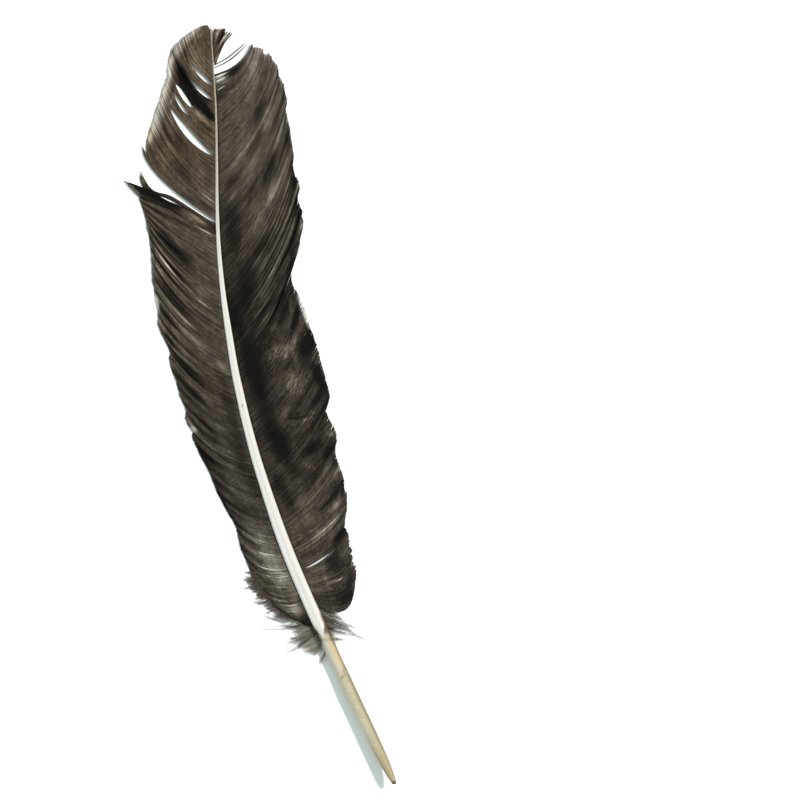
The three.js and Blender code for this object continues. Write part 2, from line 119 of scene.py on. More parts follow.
EDGE_IN = polyline([(252, 43), (254, 48), (258, 47), (262, 49), (266, 55), (268.5, 53), (272, 57), (275, 63), (278, 66), (279, 75), (281, 80), (284, 84), (285, 92), (287, 98),
    (287, 104), (285.5, 109), (288, 118), (290, 128), (291.5, 140), (293, 150), (294, 156), (293, 165), (295, 175), (299, 182), (300, 188), (298, 195), (298, 201), (300, 206),
    (303, 212), (301.5, 216), (304, 221), (303, 229), (300.5, 238), (300, 245), (298, 252), (295.5, 259), (294, 265), (291.5, 272), (292, 281), (294, 287), (297, 292), (301, 299),
    (305, 307), (308, 318), (310, 327), (313, 334), (315, 341), (317.5, 346), (319, 352), (320.5, 360), (323, 370), (326, 380), (329, 390), (330, 397), (328, 405), (326, 411),
    (329, 418), (333, 426), (336, 434), (337, 441), (335.5, 449), (336, 455), (338, 462), (340, 468), (342.5, 475), (344, 481), (344.5, 488), (346.5, 494), (347.3, 503), (347, 511),
    (345.5, 519), (345, 526), (347, 531), (348, 538), (348.5, 545), (351, 551), (353.5, 556), (355, 564), (356, 575), (355.3, 586), (354, 593)])
EDGE_OU = polyline([(207, 25), (200, 26.5), (194, 30), (188, 34), (182, 39.5), (176, 45), (171, 51), (168, 59), (167, 66), (167, 74), (165, 82), (162, 90), (160, 98), (157, 106),
    (154, 114), (152.5, 121), (150, 128), (148, 136), (146.5, 141), (142, 144)])
EDGE_OL = polyline([(140, 170), (138.6, 178), (138.5, 186), (139, 199), (143, 210), (146, 220), (147, 228), (149, 236), (150, 246), (151, 256), (152, 268), (152.2, 280), (154, 290),
    (155, 297), (156, 304), (158, 311), (158, 325), (161, 333), (165, 341), (168.5, 349), (170, 353), (169, 357), (170, 365), (173, 374), (176.5, 381), (178, 389), (179.5, 395),
    (182, 401), (185, 407), (186, 411), (185, 417), (187, 424), (190, 428), (193, 431), (192, 436), (193.5, 442), (197, 449), (201, 457), (206, 466), (210, 474), (213, 482),
    (216, 491), (220, 498), (224, 506), (229, 515), (232.5, 521), (236, 528), (237.5, 534), (239, 541), (241.5, 550), (245, 558), (249, 567), (252, 576), (257, 586), (264, 596)])
TIP_IN = pchip([(75, 0), (90, 3), (105, 8), (120, 16), (135, 25), (150, 33), (165, 41.5), (180, 50.5), (195, 60), (210, 70.5), (225, 82), (240, 94), (255, 106.5), (270, 120),
    (285, 134.5), (300, 150), (315, 166), (330, 184), (345, 206), (360, 233), (375, 260), (390, 280), (405, 297), (420, 315), (435, 332.5), (450, 351), (465, 370.5), (480, 392),
    (495, 413.5), (510, 435), (525, 456.5), (540, 479), (555, 502), (570, 526), (585, 549), (597, 571), (606, 589)])
TIP_OU = pchip([(31, 0), (40, 2.5), (50, 6.5), (60, 12), (70, 18.5), (80, 25.5), (90, 32.6), (100, 39.6), (110, 46.6), (120, 54.3), (130, 63), (140, 71.8), (150, 80),
    (160, 87.8), (170, 95.4), (180, 103), (190, 111), (200, 119.5), (210, 129), (217, 137), (218.6, 139), (220, 144.3)])
TIP_OL = pchip([(236, 26), (250, 31), (264, 36.5), (278, 43), (292, 51), (306, 62.5), (320, 77.5), (334, 93.5), (348, 110), (362, 127.5), (376, 145), (390, 163), (404, 181.5),
    (418, 200.5), (432, 220), (446, 238.5), (460, 257.5), (474, 276.5), (488, 296), (502, 316.5), (516, 336.5), (530, 357), (544, 376.5), (558, 394), (572, 410.5), (586, 427), (598, 443)])
ANG_IN = [(75, 14, 72), (85, 24, 78), (100, 31, 79), (130, 37, 78), (170, 41, 77), (220, 44, 77), (280, 47, 76), (340, 48, 74), (400, 46, 70), (450, 42, 66), (500, 37, 63),
    (540, 30, 60), (565, 22, 58), (585, 10, 60), (597, -8, 68), (606, -30, 80)]
ANG_OU = [(30, 66, 105), (45, 55, 92), (60, 46, 84), (85, 34, 76), (110, 31, 74), (150, 33, 70), (198, 36, 66), (210, 35.5, 70), (220, 33, 84)]
ANG_OL = [(236, 30, 60), (260, 32, 64), (310, 30, 62), (360, 25, 58), (410, 20, 55), (450, 14, 52), (490, 8, 50), (530, -2, 48), (560, -14, 52), (580, -20, 52), (600, -26, 50)]
H_IN = pchip([(75, 1.2), (120, 1.0), (165, 0.9), (225, 0.8), (270, 0.7), (300, 0.6), (325, 1.2), (333, 0.4), (340, 1.9), (352, 1.5), (364, 0.25), (369, 2.4), (390, 2.3), (410, 1.5), (425, 0.8), (450, 1.4), (476, 0.25), (482, 2.2), (498, 1.7), (507, 0.5), (513, 1.8), (535, 1.3), (554, 0.25), (560, 2.0), (578, 1.4), (597, 0.5), (606, 0.5)])
H_OU = pchip([(31, 0.8), (60, 0.7), (90, 0.9), (120, 0.6), (150, 0.45), (180, 0.4), (220, 0.5)])
H_OL = pchip([(236, 0.45), (270, 0.3), (295, 0.6), (318, 0.25), (338, 0.6), (358, 0.3), (385, 0.55), (410, 0.25), (440, 0.55), (468, 0.28), (500, 0.5), (530, 0.3), (560, 0.45), (584, 0.25), (598, 0.35)])


# ------------------------------------------------------------------ plan of a vane: root v and run s -> (u, v)
def plan(side, edge, tip, ang):
    a0f, a1f, smax = pchip(ang, 1), pchip(ang, 2), edge.total

    def f(v, s):
        v, s = np.broadcast_arrays(np.asarray(v, float), np.asarray(s, float))
        p0, p1 = np.radians(a0f(v)), np.radians(a1f(v))
        d0x, d0y, d1x, d1y = side * np.cos(p0), -np.sin(p0), side * np.cos(p1), -np.sin(p1)
        t = su(v + 0.5) - su(v - 0.5)
        tl = np.hypot(t, 1)
        off = side * sw(v) * 0.46
        rx, ry = su(v) + off / tl, v - off * t / tl
        tx, ty = edge(tip(v))
        ex, ey = tx - rx, ty - ry
        den = d0x * d1y - d0y * d1x
        den = np.where(np.abs(den) < 1e-3, 1e-3, den)
        a, b = (ex * d1y - ey * d1x) / den, (d0x * ey - d0y * ex) / den
        ln = np.hypot(ex, ey)
        ok = (a > 0) & (b > 0) & (a < 2 * ln)
        a = np.where(ok, a, ln / 2)
        cx, cy = rx + a * d0x, ry + a * d0y
        q = 1 - s
        return q * q * rx + 2 * q * s * cx + s * s * tx, q * q * ry + 2 * q * s * cy + s * s * ty

    return f


def lumps(u, v, blobs):
    """sum of soft elongated spots: (u, v, half length, half width, angle above the right-hand horizontal, strength)"""
    out = np.zeros(np.shape(u))
    for bu, bv, ra, rb, deg, k in blobs:
        c, s = math.cos(math.radians(deg)), math.sin(math.radians(deg))
        du, dv = u - bu, -(v - bv)
        x, y = (du * c + dv * s) / ra, (-du * s + dv * c) / rb
        out += k * np.exp(-1.2 * (x * x + y * y) ** 1.15)
    return out


def spots(pu, pv, v, s, blobs):
    """soft spots on a vane: (u, v, half length, half width, strength) runs along the barbs through u, v and bends with
    them; with an angle before the strength it lies at that angle instead"""
    out = lumps(pu, pv, [b for b in blobs if len(b) == 6])
    ln = np.hypot(np.diff(pu, axis=1), np.diff(pv, axis=1)).sum(1)
    n, m = pu.shape
    for bu, bv, ra, rb, k in (b for b in blobs if len(b) == 5):
        i, j = divmod(int(np.argmin((pu - bu) ** 2 + (pv - bv) ** 2)), m)
        i0, i1, j0, j1 = max(i - 4, 0), min(i + 4, n - 1), max(j - 1, 0), min(j + 1, m - 1)
        tu, tv = pu[i, j1] - pu[i, j0], pv[i, j1] - pv[i, j0]
        w = abs((pu[i1, j] - pu[i0, j]) * tv - (pv[i1, j] - pv[i0, j]) * tu) / math.hypot(tu, tv) / (v[i1, j] - v[i0, j])
        x, y = (s - s[0, j]) * ln[i] / ra, (v - v[i, j]) * w / rb
        out += k * np.exp(-1.2 * (x * x + y * y) ** 1.15)
    return out


# ------------------------------------------------------------------ ribbons: many closed barbs as one mesh
def ribbons(name, P, hw, tilt, ht, hb, attrs, mat, node, twist=None, bake=(0, 0.5)):
    """P (n, m, 3) paths in metres, hw half widths in metres, tilt radians, ht/hb heights above and below over hw"""
    n, m = P.shape[:2]
    T = np.gradient(P, axis=1)
    T /= np.maximum(np.linalg.norm(T, axis=-1, keepdims=True), 1e-12)
    Z = np.zeros_like(T)
    Z[..., 2] = 1
    S = np.cross(T, Z)
    S /= np.maximum(np.linalg.norm(S, axis=-1, keepdims=True), 1e-9)
    N = np.cross(S, T)
    c, s = np.cos(tilt)[..., None], np.sin(tilt)[..., None]
    S2, N2 = S * c + N * s, N * c - S * s
    w = hw[..., None]
    ring = np.stack([P + S2 * w, P + N2 * w * ht, P - S2 * w, P - N2 * w * hb], 2)      # n, m, 4, 3
    V = ring.reshape(-1, 3)
    i, j, k = np.meshgrid(np.arange(n), np.arange(m - 1), np.arange(4), indexing="ij")
    a = (i * m + j) * 4 + k
    b = (i * m + j) * 4 + (k + 1) % 4
    F = np.stack([a, b, b + 4, a + 4], -1).reshape(-1, 4)
    i = np.arange(n)
    r0, r1 = i * m * 4, (i * m + m - 1) * 4
    F = np.concatenate([F, np.stack([r0 + 3, r0 + 2, r0 + 1, r0], -1), np.stack([r1, r1 + 1, r1 + 2, r1 + 3], -1)])
    at = {q: np.repeat(np.broadcast_to(x, (n, m)).reshape(-1), 4) for q, x in attrs.items()}
    top = np.tile(np.array([0, 1, 0, -1]), n * m)
    at["top"] = top.astype(float)
    return mesh(name, V, F, at, mat, node, bake_plan=True)


def mesh(name, V, F, attrs, mat, node, smooth_faces=False, bake_plan=False):
    me = bpy.data.meshes.new(name)
    F = np.asarray(F, np.int32)
    me.vertices.add(len(V))
    me.vertices.foreach_set("co", np.asarray(V, np.float32).ravel())
    k = F.shape[1]
    me.loops.add(F.size)
    me.loops.foreach_set("vertex_index", F.ravel())
    me.polygons.add(len(F))
    me.polygons.foreach_set("loop_start", np.arange(0, F.size, k, dtype=np.int32))
    me.update(calc_edges=True)
    if smooth_faces:
        me.polygons.foreach_set("use_smooth", np.ones(len(F), bool))
    for q, x in attrs.items():
        a = me.attributes.new(q, "FLOAT", "POINT")
        a.data.foreach_set("value", np.asarray(x, np.float32).ravel())
    if bake_plan:
        # seen from above in the left half of the map, from below in the right half
        uv = me.uv_layers.new(name="OFBake")
        co = np.asarray(V)[F]                                        # f, 4, 3
        nz = np.cross(co[:, 1] - co[:, 0], co[:, 2] - co[:, 0])[:, 2]
        lo, hi = np.asarray(V)[:, :2].min(0), np.asarray(V)[:, :2].max(0)
        q = (co[..., :2] - lo) / (hi - lo)
        q = q * 0.98 + 0.01
        q[..., 0] = q[..., 0] * 0.49 + np.where(nz < 0, 0.505, 0.005)[:, None]
        uv.data.foreach_set("uv", q.astype(np.float32).ravel())
    me.validate()
    ob = bpy.data.objects.new(name, me)
    bpy.context.scene.collection.objects.link(ob)
    me.materials.append(mat)
    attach(ob, "root")
    if node:
        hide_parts(*([node] if isinstance(node, str) else node))
    return ob


# ------------------------------------------------------------------ materials
def nodes_of(name):
    m = bpy.data.materials.new(name)
    m.use_nodes = True
    t = m.node_tree
    t.nodes.clear()
    return m, t


def node(t, kind, **kw):
    n = t.nodes.new(kind)
    for k, v in kw.items():
        if isinstance(k, str) and hasattr(n, k):
            setattr(n, k, v)
    return n


def attr(t, name):
    n = t.nodes.new("ShaderNodeAttribute")
    n.attribute_name = name
    return n.outputs["Fac"]


def math_(t, op, a, b=None, clamp=False):
    n = t.nodes.new("ShaderNodeMath")
    n.operation = op
    n.use_clamp = clamp
    for i, x in enumerate((a, b)):
        if x is None:
            continue
        if isinstance(x, (int, float)):
            n.inputs[i].default_value = x
        else:
            t.links.new(x, n.inputs[i])
    return n.outputs[0]


def mix(t, f, a, b, kind="MIX"):
    n = t.nodes.new("ShaderNodeMix")
    n.data_type = "RGBA"
    n.blend_type = kind
    n.clamp_factor = True
    for sock, x in ((n.inputs[0], f), (n.inputs[6], a), (n.inputs[7], b)):
        if isinstance(x, (int, float)):
            sock.default_value = x
        elif isinstance(x, tuple):
            sock.default_value = (*x, 1)
        else:
            t.links.new(x, sock)
    return n.outputs[2]


def combine(t, x, y, z):
    n = t.nodes.new("ShaderNodeCombineXYZ")
    for i, q in enumerate((x, y, z)):
        if isinstance(q, (int, float)):
            n.inputs[i].default_value = q
        else:
            t.links.new(q, n.inputs[i])
    return n.outputs[0]


def noise(t, vec, scale=1.0, detail=3.0, rough=0.55):
    n = t.nodes.new("ShaderNodeTexNoise")
    n.inputs["Scale"].default_value = scale
    n.inputs["Detail"].default_value = detail
    n.inputs["Roughness"].default_value = rough
    t.links.new(vec, n.inputs["Vector"])
    return n.outputs[0]


def ramp(t, f, stops):
    n = t.nodes.new("ShaderNodeValToRGB")
    e = n.color_ramp.elements
    while len(e) < len(stops):
        e.new(0.5)
    for i, (p, c) in enumerate(stops):
        e[i].position = p
        e[i].color = (*c, 1) if len(c) == 3 else c
    t.links.new(f, n.inputs[0])
    return n.outputs[0]


def vane_material(name, stops, pale, lift=0.5):
    """barb horn: fine streaks along each barb, soft clouds over the vane, short creases where it is rumpled, worn pale
    tips; the pale and dark spots also lay painted highlights and painted shade
    """
    m, t = nodes_of(name)
    out = node(t, "ShaderNodeOutputMaterial")
    bs = node(t, "ShaderNodeBsdfPrincipled")
    t.links.new(bs.outputs[0], out.inputs[0])
    bv, s, rb, grp = attr(t, "bv"), attr(t, "bs"), attr(t, "rb"), attr(t, "grp")
    st = noise(t, combine(t, math_(t, "MULTIPLY", bv, 1.2), math_(t, "MULTIPLY", s, 4.5), grp), 1.0, 3.0, 0.6)
    st2 = noise(t, combine(t, math_(t, "MULTIPLY", rb, 40.0), math_(t, "MULTIPLY", s, 20.0), 3.0), 1.0, 3.0, 0.6)
    mot = noise(t, combine(t, math_(t, "MULTIPLY", bv, 0.085), math_(t, "MULTIPLY", s, 7.0), 7.0), 1.0, 5.0, 0.60)
    wri = noise(t, combine(t, math_(t, "MULTIPLY", bv, 0.40), math_(t, "MULTIPLY", s, 17.0), 11.0), 1.0, 4.0, 0.62)

    def about(x, k, mid_=0.5):
        return math_(t, "MULTIPLY", math_(t, "SUBTRACT", x, mid_), k)

    f = math_(t, "ADD", about(st, 0.42), about(mot, 0.50))
    f = math_(t, "ADD", f, about(st2, 0.40))
    f = math_(t, "ADD", f, math_(t, "MULTIPLY", about(wri, 1.0), math_(t, "ADD", 0.25, math_(t, "MULTIPLY", attr(t, "rumple"), 1.1))))
    f = math_(t, "ADD", f, about(rb, 0.18))
    f = math_(t, "ADD", f, math_(t, "MULTIPLY", attr(t, "pale"), 0.30))
    f = math_(t, "SUBTRACT", f, math_(t, "MULTIPLY", attr(t, "dark"), 0.36))
    f = math_(t, "MULTIPLY", math_(t, "ADD", f, lift), 0.85)
    base = ramp(t, f, stops)
    base = mix(t, attr(t, "warm"), base, mix(t, 1.0, base, (1.0, 0.84, 0.70), "MULTIPLY"))
    tip = math_(t, "MULTIPLY", attr(t, "tip"), math_(t, "ADD", 0.2, math_(t, "MULTIPLY", rb, 1.5)), True)
    col = mix(t, tip, base, pale)
    t.links.new(col, bs.inputs["Base Color"])
    rr = math_(t, "ADD", math_(t, "MULTIPLY", st, 0.25), 0.48)
    t.links.new(rr, bs.inputs["Roughness"])
    bs.inputs["Specular IOR Level"].default_value = 0.10
    # barbules: a fine slant ribbing on each barb
    bar = noise(t, combine(t, math_(t, "MULTIPLY", rb, 60.0), math_(t, "MULTIPLY", s, 260.0), attr(t, "top")), 1.0, 1.0, 0.5)
    bump = node(t, "ShaderNodeBump")
    bump.inputs["Strength"].default_value = 0.35
    bump.inputs["Distance"].default_value = 0.00012
    t.links.new(bar, bump.inputs["Height"])
    t.links.new(bump.outputs[0], bs.inputs["Normal"])
    return m


VANE = vane_material("feather_vane", [(0.017, (0.003, 0.002, 0.0014)), (0.238, (0.0125, 0.009, 0.0066)), (0.425, (0.040, 0.031, 0.023)), (0.595, (0.088, 0.072, 0.055)), (0.765, (0.185, 0.16, 0.128)),
    (0.86, (0.29, 0.262, 0.215)), (1.0, (0.50, 0.465, 0.40))], (0.60, 0.57, 0.52))
# a darker copy of the vane horn for the twisted lock: partly its own darker back, partly painted shade where it turns
# away from the light
SHADED_DARK_VANE = vane_material("feather_vane_dark", [(0.085, (0.002, 0.0016, 0.0012)), (0.425, (0.0075, 0.0055, 0.004)), (0.64, (0.040, 0.031, 0.022)), (0.81, (0.15, 0.125, 0.095))], (0.45, 0.42, 0.36))

# ------------------------------------------------------------------ vanes
RNG = np.random.default_rng(1907)


def groups(n, lo, hi):
    """contiguous bundles of barbs: group index of each barb"""
    g, out = 0, []
    while len(out) < n:
        out += [g] * int(RNG.integers(lo, hi + 1))
        g += 1
    return np.array(out[:n])


def ridge_table(v0, v1, step_lo, step_hi, sharp=0.35):
    """a row of unequal, lopsided waves along the shaft, about -1..1"""
    v = np.arange(v0 - 30, v1 + 30, 0.25)
    z = np.zeros_like(v)
    p = v0 - 30
    while p < v1 + 30:
        L = RNG.uniform(step_lo, step_hi)
        a = RNG.uniform(0.45, 1.0)
        i = (v >= p) & (v < p + L)
        x = (v[i] - p) / L
        z[i] = a * np.where(x < 1 - sharp, np.sin(np.pi * (x / (1 - sharp) - 0.5)), -np.sin(np.pi * ((x - (1 - sharp)) / sharp - 0.5)))
        p += L
    k = np.hanning(11)
    z = np.convolve(z, k / k.sum(), "same")
    return lambda q: np.interp(q, v, z)


def vane(name, side, v0, v1, edge, tip, ang, H, ridge_amp, slits, pale, dark, m=36, step=1.05, node=None, thin=None, lift=None, tips=None,
         mat=None, grow=0.8, shift=None, ridges=(6, 11), clump=0.08, crest_furrow_shade_amount=0.6, fray=0.25, env=(0.10, 0.8), rumple=(), warm=None, low=1.0, tone=None, rough=None, fine=None):
    f = plan(side, edge, tip, ang)
    n = int((v1 - v0) / step)
    v = np.linspace(v0, v1, n) + RNG.normal(0, 0.10 * step, n)
    v = np.sort(v)
    g = groups(n, 3, 8)
    gid = g.max() + 1
    gc = np.array([v[g == k].mean() for k in range(gid)])[g]
    gr = RNG.random(gid)
    grp = gr[g]
    gz, gt = RNG.normal(0, 1, gid)[g], RNG.normal(0, 1, gid)[g]
    glen = RNG.normal(0, 1, gid)[g] * 0.35 + RNG.normal(0, 1, n) * 0.25 - 1.6 * (RNG.random(gid)[g] < 0.07)
    if rough is not None:
        glen = glen * rough(v)
    s = np.linspace(0, 1, m) ** 0.94
    vv, ss = np.broadcast_arrays(v[:, None], s[None, :])
    vv = vv + (gc[:, None] - v[:, None]) * clump * smooth(0.80, 1.0, ss)           # bundles close up at their tips
    vv = vv + RNG.normal(0, 0.12, n)[:, None] * smooth(0.3, 1, ss)
    if shift is not None:
        vv = shift(vv, ss)
    gapw = np.zeros_like(vv)
    for sv, sa, sb, w, lam, pk in slits:
        x = np.clip((ss - sa) / (sb - sa), 0, 1)
        x = np.where(x < pk, x / pk * 0.5, 0.5 + (x - pk) / (1 - pk) * 0.5)
        b = w * np.sin(np.pi * x) ** 0.85
        d = v[:, None] - sv
        vv = vv + np.sign(d) * b * np.exp(-np.abs(d) / lam)
    pu, pv = f(vv, ss)
    # local spacing, square to the barb
    qu, qv = f(v[:, None] + 0.5, ss)
    ru, rv = f(v[:, None] - 0.5, ss)
    tu, tv = np.gradient(pu, axis=1), np.gradient(pv, axis=1)
    tl = np.maximum(np.hypot(tu, tv), 1e-9)
    gap = np.abs((qu - ru) * tv - (qv - rv) * tu) / tl * step * U                     # mm
    hw = np.clip(0.76 * gap, 0.05, 0.6)
    # reach a little past or short of the edge line
    ext = (glen * grow)[:, None] * smooth(0.75, 1, ss)
    pu, pv = pu + ext * tu / tl, pv + ext * tv / tl
    zr = z_root(vv)
    z = zr + (H(vv) - zr) * ss ** 1.5
    rd = ridge_table(v0, v1, *ridges)
    rdv = rd(vv) * smooth(env[0], env[1], ss)
    z = z + ridge_amp(vv) * rdv * (1 - (1 - low) * smooth(0.55, 1.0, ss))
    # the waves are also painted: crests lighter (painted light), furrows darker (painted shade)
    crest_light_furrow_shade = crest_furrow_shade_amount * rdv
    if fine is not None:
        fn = ridge_table(v0, v1, 3.5, 8.0)(vv + 3 * ss) * smooth(0.18, 0.6, ss) * fine(vv)
        z = z + 0.10 * fn
        crest_light_furrow_shade = crest_light_furrow_shade + 1.0 * fn
    z = z + gz[:, None] * 0.03 * smooth(0.1, 0.9, ss)
    if lift is not None:
        z = z + lift(vv, ss, pu, pv)
    z = 0.22 + np.where(z - 0.22 > 0.25, z - 0.22, 0.25 * np.exp(np.clip((z - 0.47) / 0.25, -6, 0)))   # never into the floor
    taper = 1 - fray * smooth(0.94, 1.0, ss)
    hwf = hw * taper
    if thin is not None:
        hwf = hwf * thin(vv, ss, pu, pv)
    tilt = 0.16 + 0.035 * gt[:, None] + RNG.normal(0, 0.05, n)[:, None] + 0 * ss
    tilt = tilt * side * smooth(0.0, 0.1, ss)
    P = place(pu, pv, z)
    # pale and dark hold paler and darker markings and also painted highlights and painted shade
    at = dict(bv=vv + 0 * ss, bs=ss, rb=RNG.random(n)[:, None] + 0 * ss, grp=grp[:, None] + 0 * ss,
              pale=spots(pu, pv, vv, ss, pale) + 0.6 * np.clip(crest_light_furrow_shade, 0, 2) + (tone(pu, pv) if tone else 0), dark=spots(pu, pv, vv, ss, dark) + np.clip(-crest_light_furrow_shade, 0, 2), tip=tips(vv, ss, pu, pv) if tips else 0 * ss,
              rumple=spots(pu, pv, vv, ss, rumple), warm=warm(pu, pv) if warm else 0.25 + 0 * ss)
    return ribbons(name, P, hwf * 0.001, tilt, 0.34, 0.26, at, mat or VANE, node)


# broad vane ---------------------------------------------------------------
# paler markings, and painted highlights where the rumpled vane catches the light (around 282, 350 and 295, 385)
PALE_AND_HIGHLIGHT_IN = [(252, 62, 16, 8, 0.8), (245, 52, 6, 4, 0.4), (270, 58, 8, 2, 0.6), (255, 86, 14, 6, 0.35), (275, 82, 10, 3, 0.4), (240, 118, 14, 8, 0.35), (267, 118, 20, 4, 0.75), (279, 131, 18, 1.4, 1.1),
    (246, 148, 22, 5, 0.6), (252, 165, 16, 5, 0.65), (281, 176, 24, 1.8, 1.0), (272, 193, 9, 4, 0.8), (231, 198, 7, 2, 0.9), (262, 212, 18, 8, 0.45), (301, 224, 8, 1.4, 94, 1.2), (283, 217, 14, 1.5, 0.7),
    (255, 262, 16, 2.5, 0.7), (280, 248, 18, 2.2, 0.5), (232, 255, 6, 2, 0.5), (262, 236, 14, 2, 0.5), (262, 262, 18, 0.8, 0.9), (270, 274, 16, 0.8, 1.0), (266, 288, 20, 0.8, 1.3), (256, 298, 16, 0.7, 1.2), (277, 260, 16, 0.8, 0.5),
    (285, 272, 14, 0.8, 0.3), (264, 320, 14, 0.7, 1.3), (250, 310, 12, 0.7, 1.1), (280, 290, 12, 0.7, 1.0), (272, 303, 12, 0.7, 1.1), (259, 333, 10, 0.7, 1.0), (290, 262, 10, 0.8, 0.2), (284, 352, 16, 9, 15, 0.35), (296, 384, 12, 9, 60, 0.5), (281, 420, 10, 5, 0.5),
    (260, 311, 20, 1.2, 1.1), (273, 311, 14, 1.0, 0.9), (247, 333, 14, 1.2, 0.6), (290, 302, 14, 1.8, -82, 0.9), (299, 316, 9, 1.2, -78, 0.6), (275, 328, 10, 3, 10, 0.5), (283, 350, 19, 8, 22, 0.6),
    (294, 340, 10, 4, 40, 0.5), (294, 380, 14, 10, 60, 0.65), (305, 418, 12, 5, 30, 0.55), (286, 410, 12, 5, 20, 0.4), (314, 356, 10, 1.6, 65, 0.8), (305, 335, 1.4, 1.4, 0, 2.0),
    (331, 434, 4, 3, 0, 1.2), (337, 470, 9, 1.6, 65, 1.1), (309, 466, 10, 1.0, -18, 0.8), (300, 430, 12, 3, 20, 0.4),
    (325, 472, 18, 2.6, 1.2), (315, 492, 16, 4, 0.6), (328, 525, 24, 4.2, 1.35), (336, 505, 12, 2, 0.7), (300, 500, 14, 5, 0.3), (313, 545, 9, 4, 0.2), (318, 588, 18, 6, 0.25), (352, 562, 5, 1.5, 80, 1.2),
    (354, 589, 5, 1.2, 85, 1.0), (335, 580.5, 10, 1.0, 22, 2.2), (320, 580, 12, 3, 15, 0.5), (322, 567, 12, 3, 20, 0.4), (223, 79, 10, 5, 15, 1.0), (226, 93, 9, 2, 20, 0.8), (318, 572, 20, 5, 0.5), (302, 508, 14, 8, -60, 0.2),
    (292, 520, 12, 6, -60, 0.2), (313, 500, 14, 5, 0.3)]
# darker markings, painted shadow beside the raised edge curled over below the deep notch, and painted shade along the
# up-curled right edge
DARK_AND_SHADE_IN = [(234, 71, 14, 4, 1.2), (226, 92, 12, 5, 0.6), (285, 92, 16, 2, 80, 0.6), (259, 112, 14, 5, 0.9), (258, 141, 16, 4, 0.7), (288, 138, 12, 4, 84, 0.9), (270, 168, 18, 5, 1.1), (235, 180, 14, 5, 0.5),
    (294, 172, 18, 3.5, 86, 1.4), (298, 208, 13, 5, 84, 1.6), (228, 216, 22, 8, 88, 0.7), (252, 190, 14, 4, 0.5), (291, 262, 14, 4, 1.2), (262, 243, 16, 4, 0.8), (235, 232, 24, 8, 85, 0.7),
    (245, 290, 30, 9, 80, 0.9), (297, 312, 16, 2.6, 76, 2.4), (308.5, 341, 15, 5.5, 66, 3.4), (319, 377, 15, 4, -64, 1.9), (254, 372, 38, 9, -74, 1.3), (236, 320, 30, 6, -76, 0.9), (281, 300, 12, 2.5, 60, 1.5),
    (268, 306, 14, 1.8, 50, 1.2), (318, 398, 8, 4, 60, 0.9), (300, 417, 18, 1.0, 6, 1.0), (278, 440, 36, 9, -66, 1.2), (312, 448, 14, 5, 40, 1.1), (328, 452, 10, 3, 60, 0.9), (284, 492, 28, 6, -64, 0.8), (256, 330, 60, 12, -80, 0.5), (282, 300, 26, 12, 60, 0.5), (285, 440, 22, 10, 20, 0.3), (334, 560, 12, 9, 70, 0.6), (338, 585, 12, 8, 60, 0.5), (333, 566, 16, 6, 20, 0.5), (316, 475, 14, 8, 20, 0.4), (318, 500, 20, 8, -65, 0.35), (334, 488, 10, 6, 80, 0.6),
    (343, 490, 12, 2.5, 84, 1.0), (341, 534, 14, 4, 55, 1.4), (316, 550, 12, 3, 0.4), (330, 500, 14, 2.5, 0.7), (330, 556, 14, 5, 0.5), (345, 596, 10, 7, 40, 1.2), (350, 578, 12, 4, 84, 1.0), (325, 600, 10, 6, 0.4)]
RUMPLE_IN = [(282, 350, 26, 16, 20, 1.0), (295, 385, 20, 14, 60, 1.0), (262, 212, 24, 14, 45, 0.6), (300, 418, 22, 9, 20, 0.9), (252, 180, 18, 12, 45, 0.3), (302, 450, 18, 8, -10, 0.5)]
SLITS_IN = [(91.5, 0.01, 0.24, 0.8, 3, 0.5), (103.5, 0.02, 0.16, 0.7, 3, 0.5), (77.6, 0.0, 0.32, 0.8, 2.5, 0.5), (82, 0.0, 0.26, 0.7, 2.5, 0.5), (572, 0.04, 0.76, 1.5, 4, 0.5), (586, 0.42, 0.78, 0.5, 3, 0.5)]


def thin_in(v, s, u, w):
    return 1 - 0.42 * (1 - smooth(0.14, 0.28, s)) * smooth(74, 77, v) * (1 - smooth(86, 92, v)) - 0.35 * (1 - smooth(0.08, 0.20, s)) * smooth(86, 90, v) * (1 - smooth(98, 104, v))


def tip_in(v, s, u, w):
    a = 0.35 * smooth(0.92, 1.0, s) * (1 - smooth(120, 170, v)) * (0.5 + 0.5 * np.sin(v * 1.1))
    # the edge curled over below the deep notch is painted pale: a painted highlight where the turned-over edge catches
    # the light
    b = lumps(u, w, [(303.6, 306, 13, 2.6, -73, 2.2), (307.4, 318, 6, 1.6, -78, 1.2), (220, 79, 5, 4, 15, 0.35)])
    return a + b


vane("inner_vane_barbs", 1, 75, 606, EDGE_IN, TIP_IN, ANG_IN, H_IN,
     lambda v: np.interp(v, [75, 150, 220, 300, 420, 520, 600], [0.12, 0.15, 0.24, 0.36, 0.38, 0.34, 0.16]), SLITS_IN, PALE_AND_HIGHLIGHT_IN, DARK_AND_SHADE_IN, node="inner_vane", thin=thin_in, tips=tip_in,
     ridges=(10, 21), crest_furrow_shade_amount=0.45, env=(0.25, 0.95), rumple=RUMPLE_IN,
     tone=lambda u, w: np.interp(w, [40, 180, 230, 262, 400, 450, 485, 520, 600], [0.30, 0.18, -0.06, -0.34, -0.38, -0.28, -0.05, 0.08, 0.08]),
     warm=lambda u, w: np.interp(w, [40, 200, 330], [0.18, 0.12, 0.0]), rough=lambda v: 1 + 3.0 * smooth(562, 582, v), fine=lambda v: np.exp(-((v - 322) / 46) ** 2))

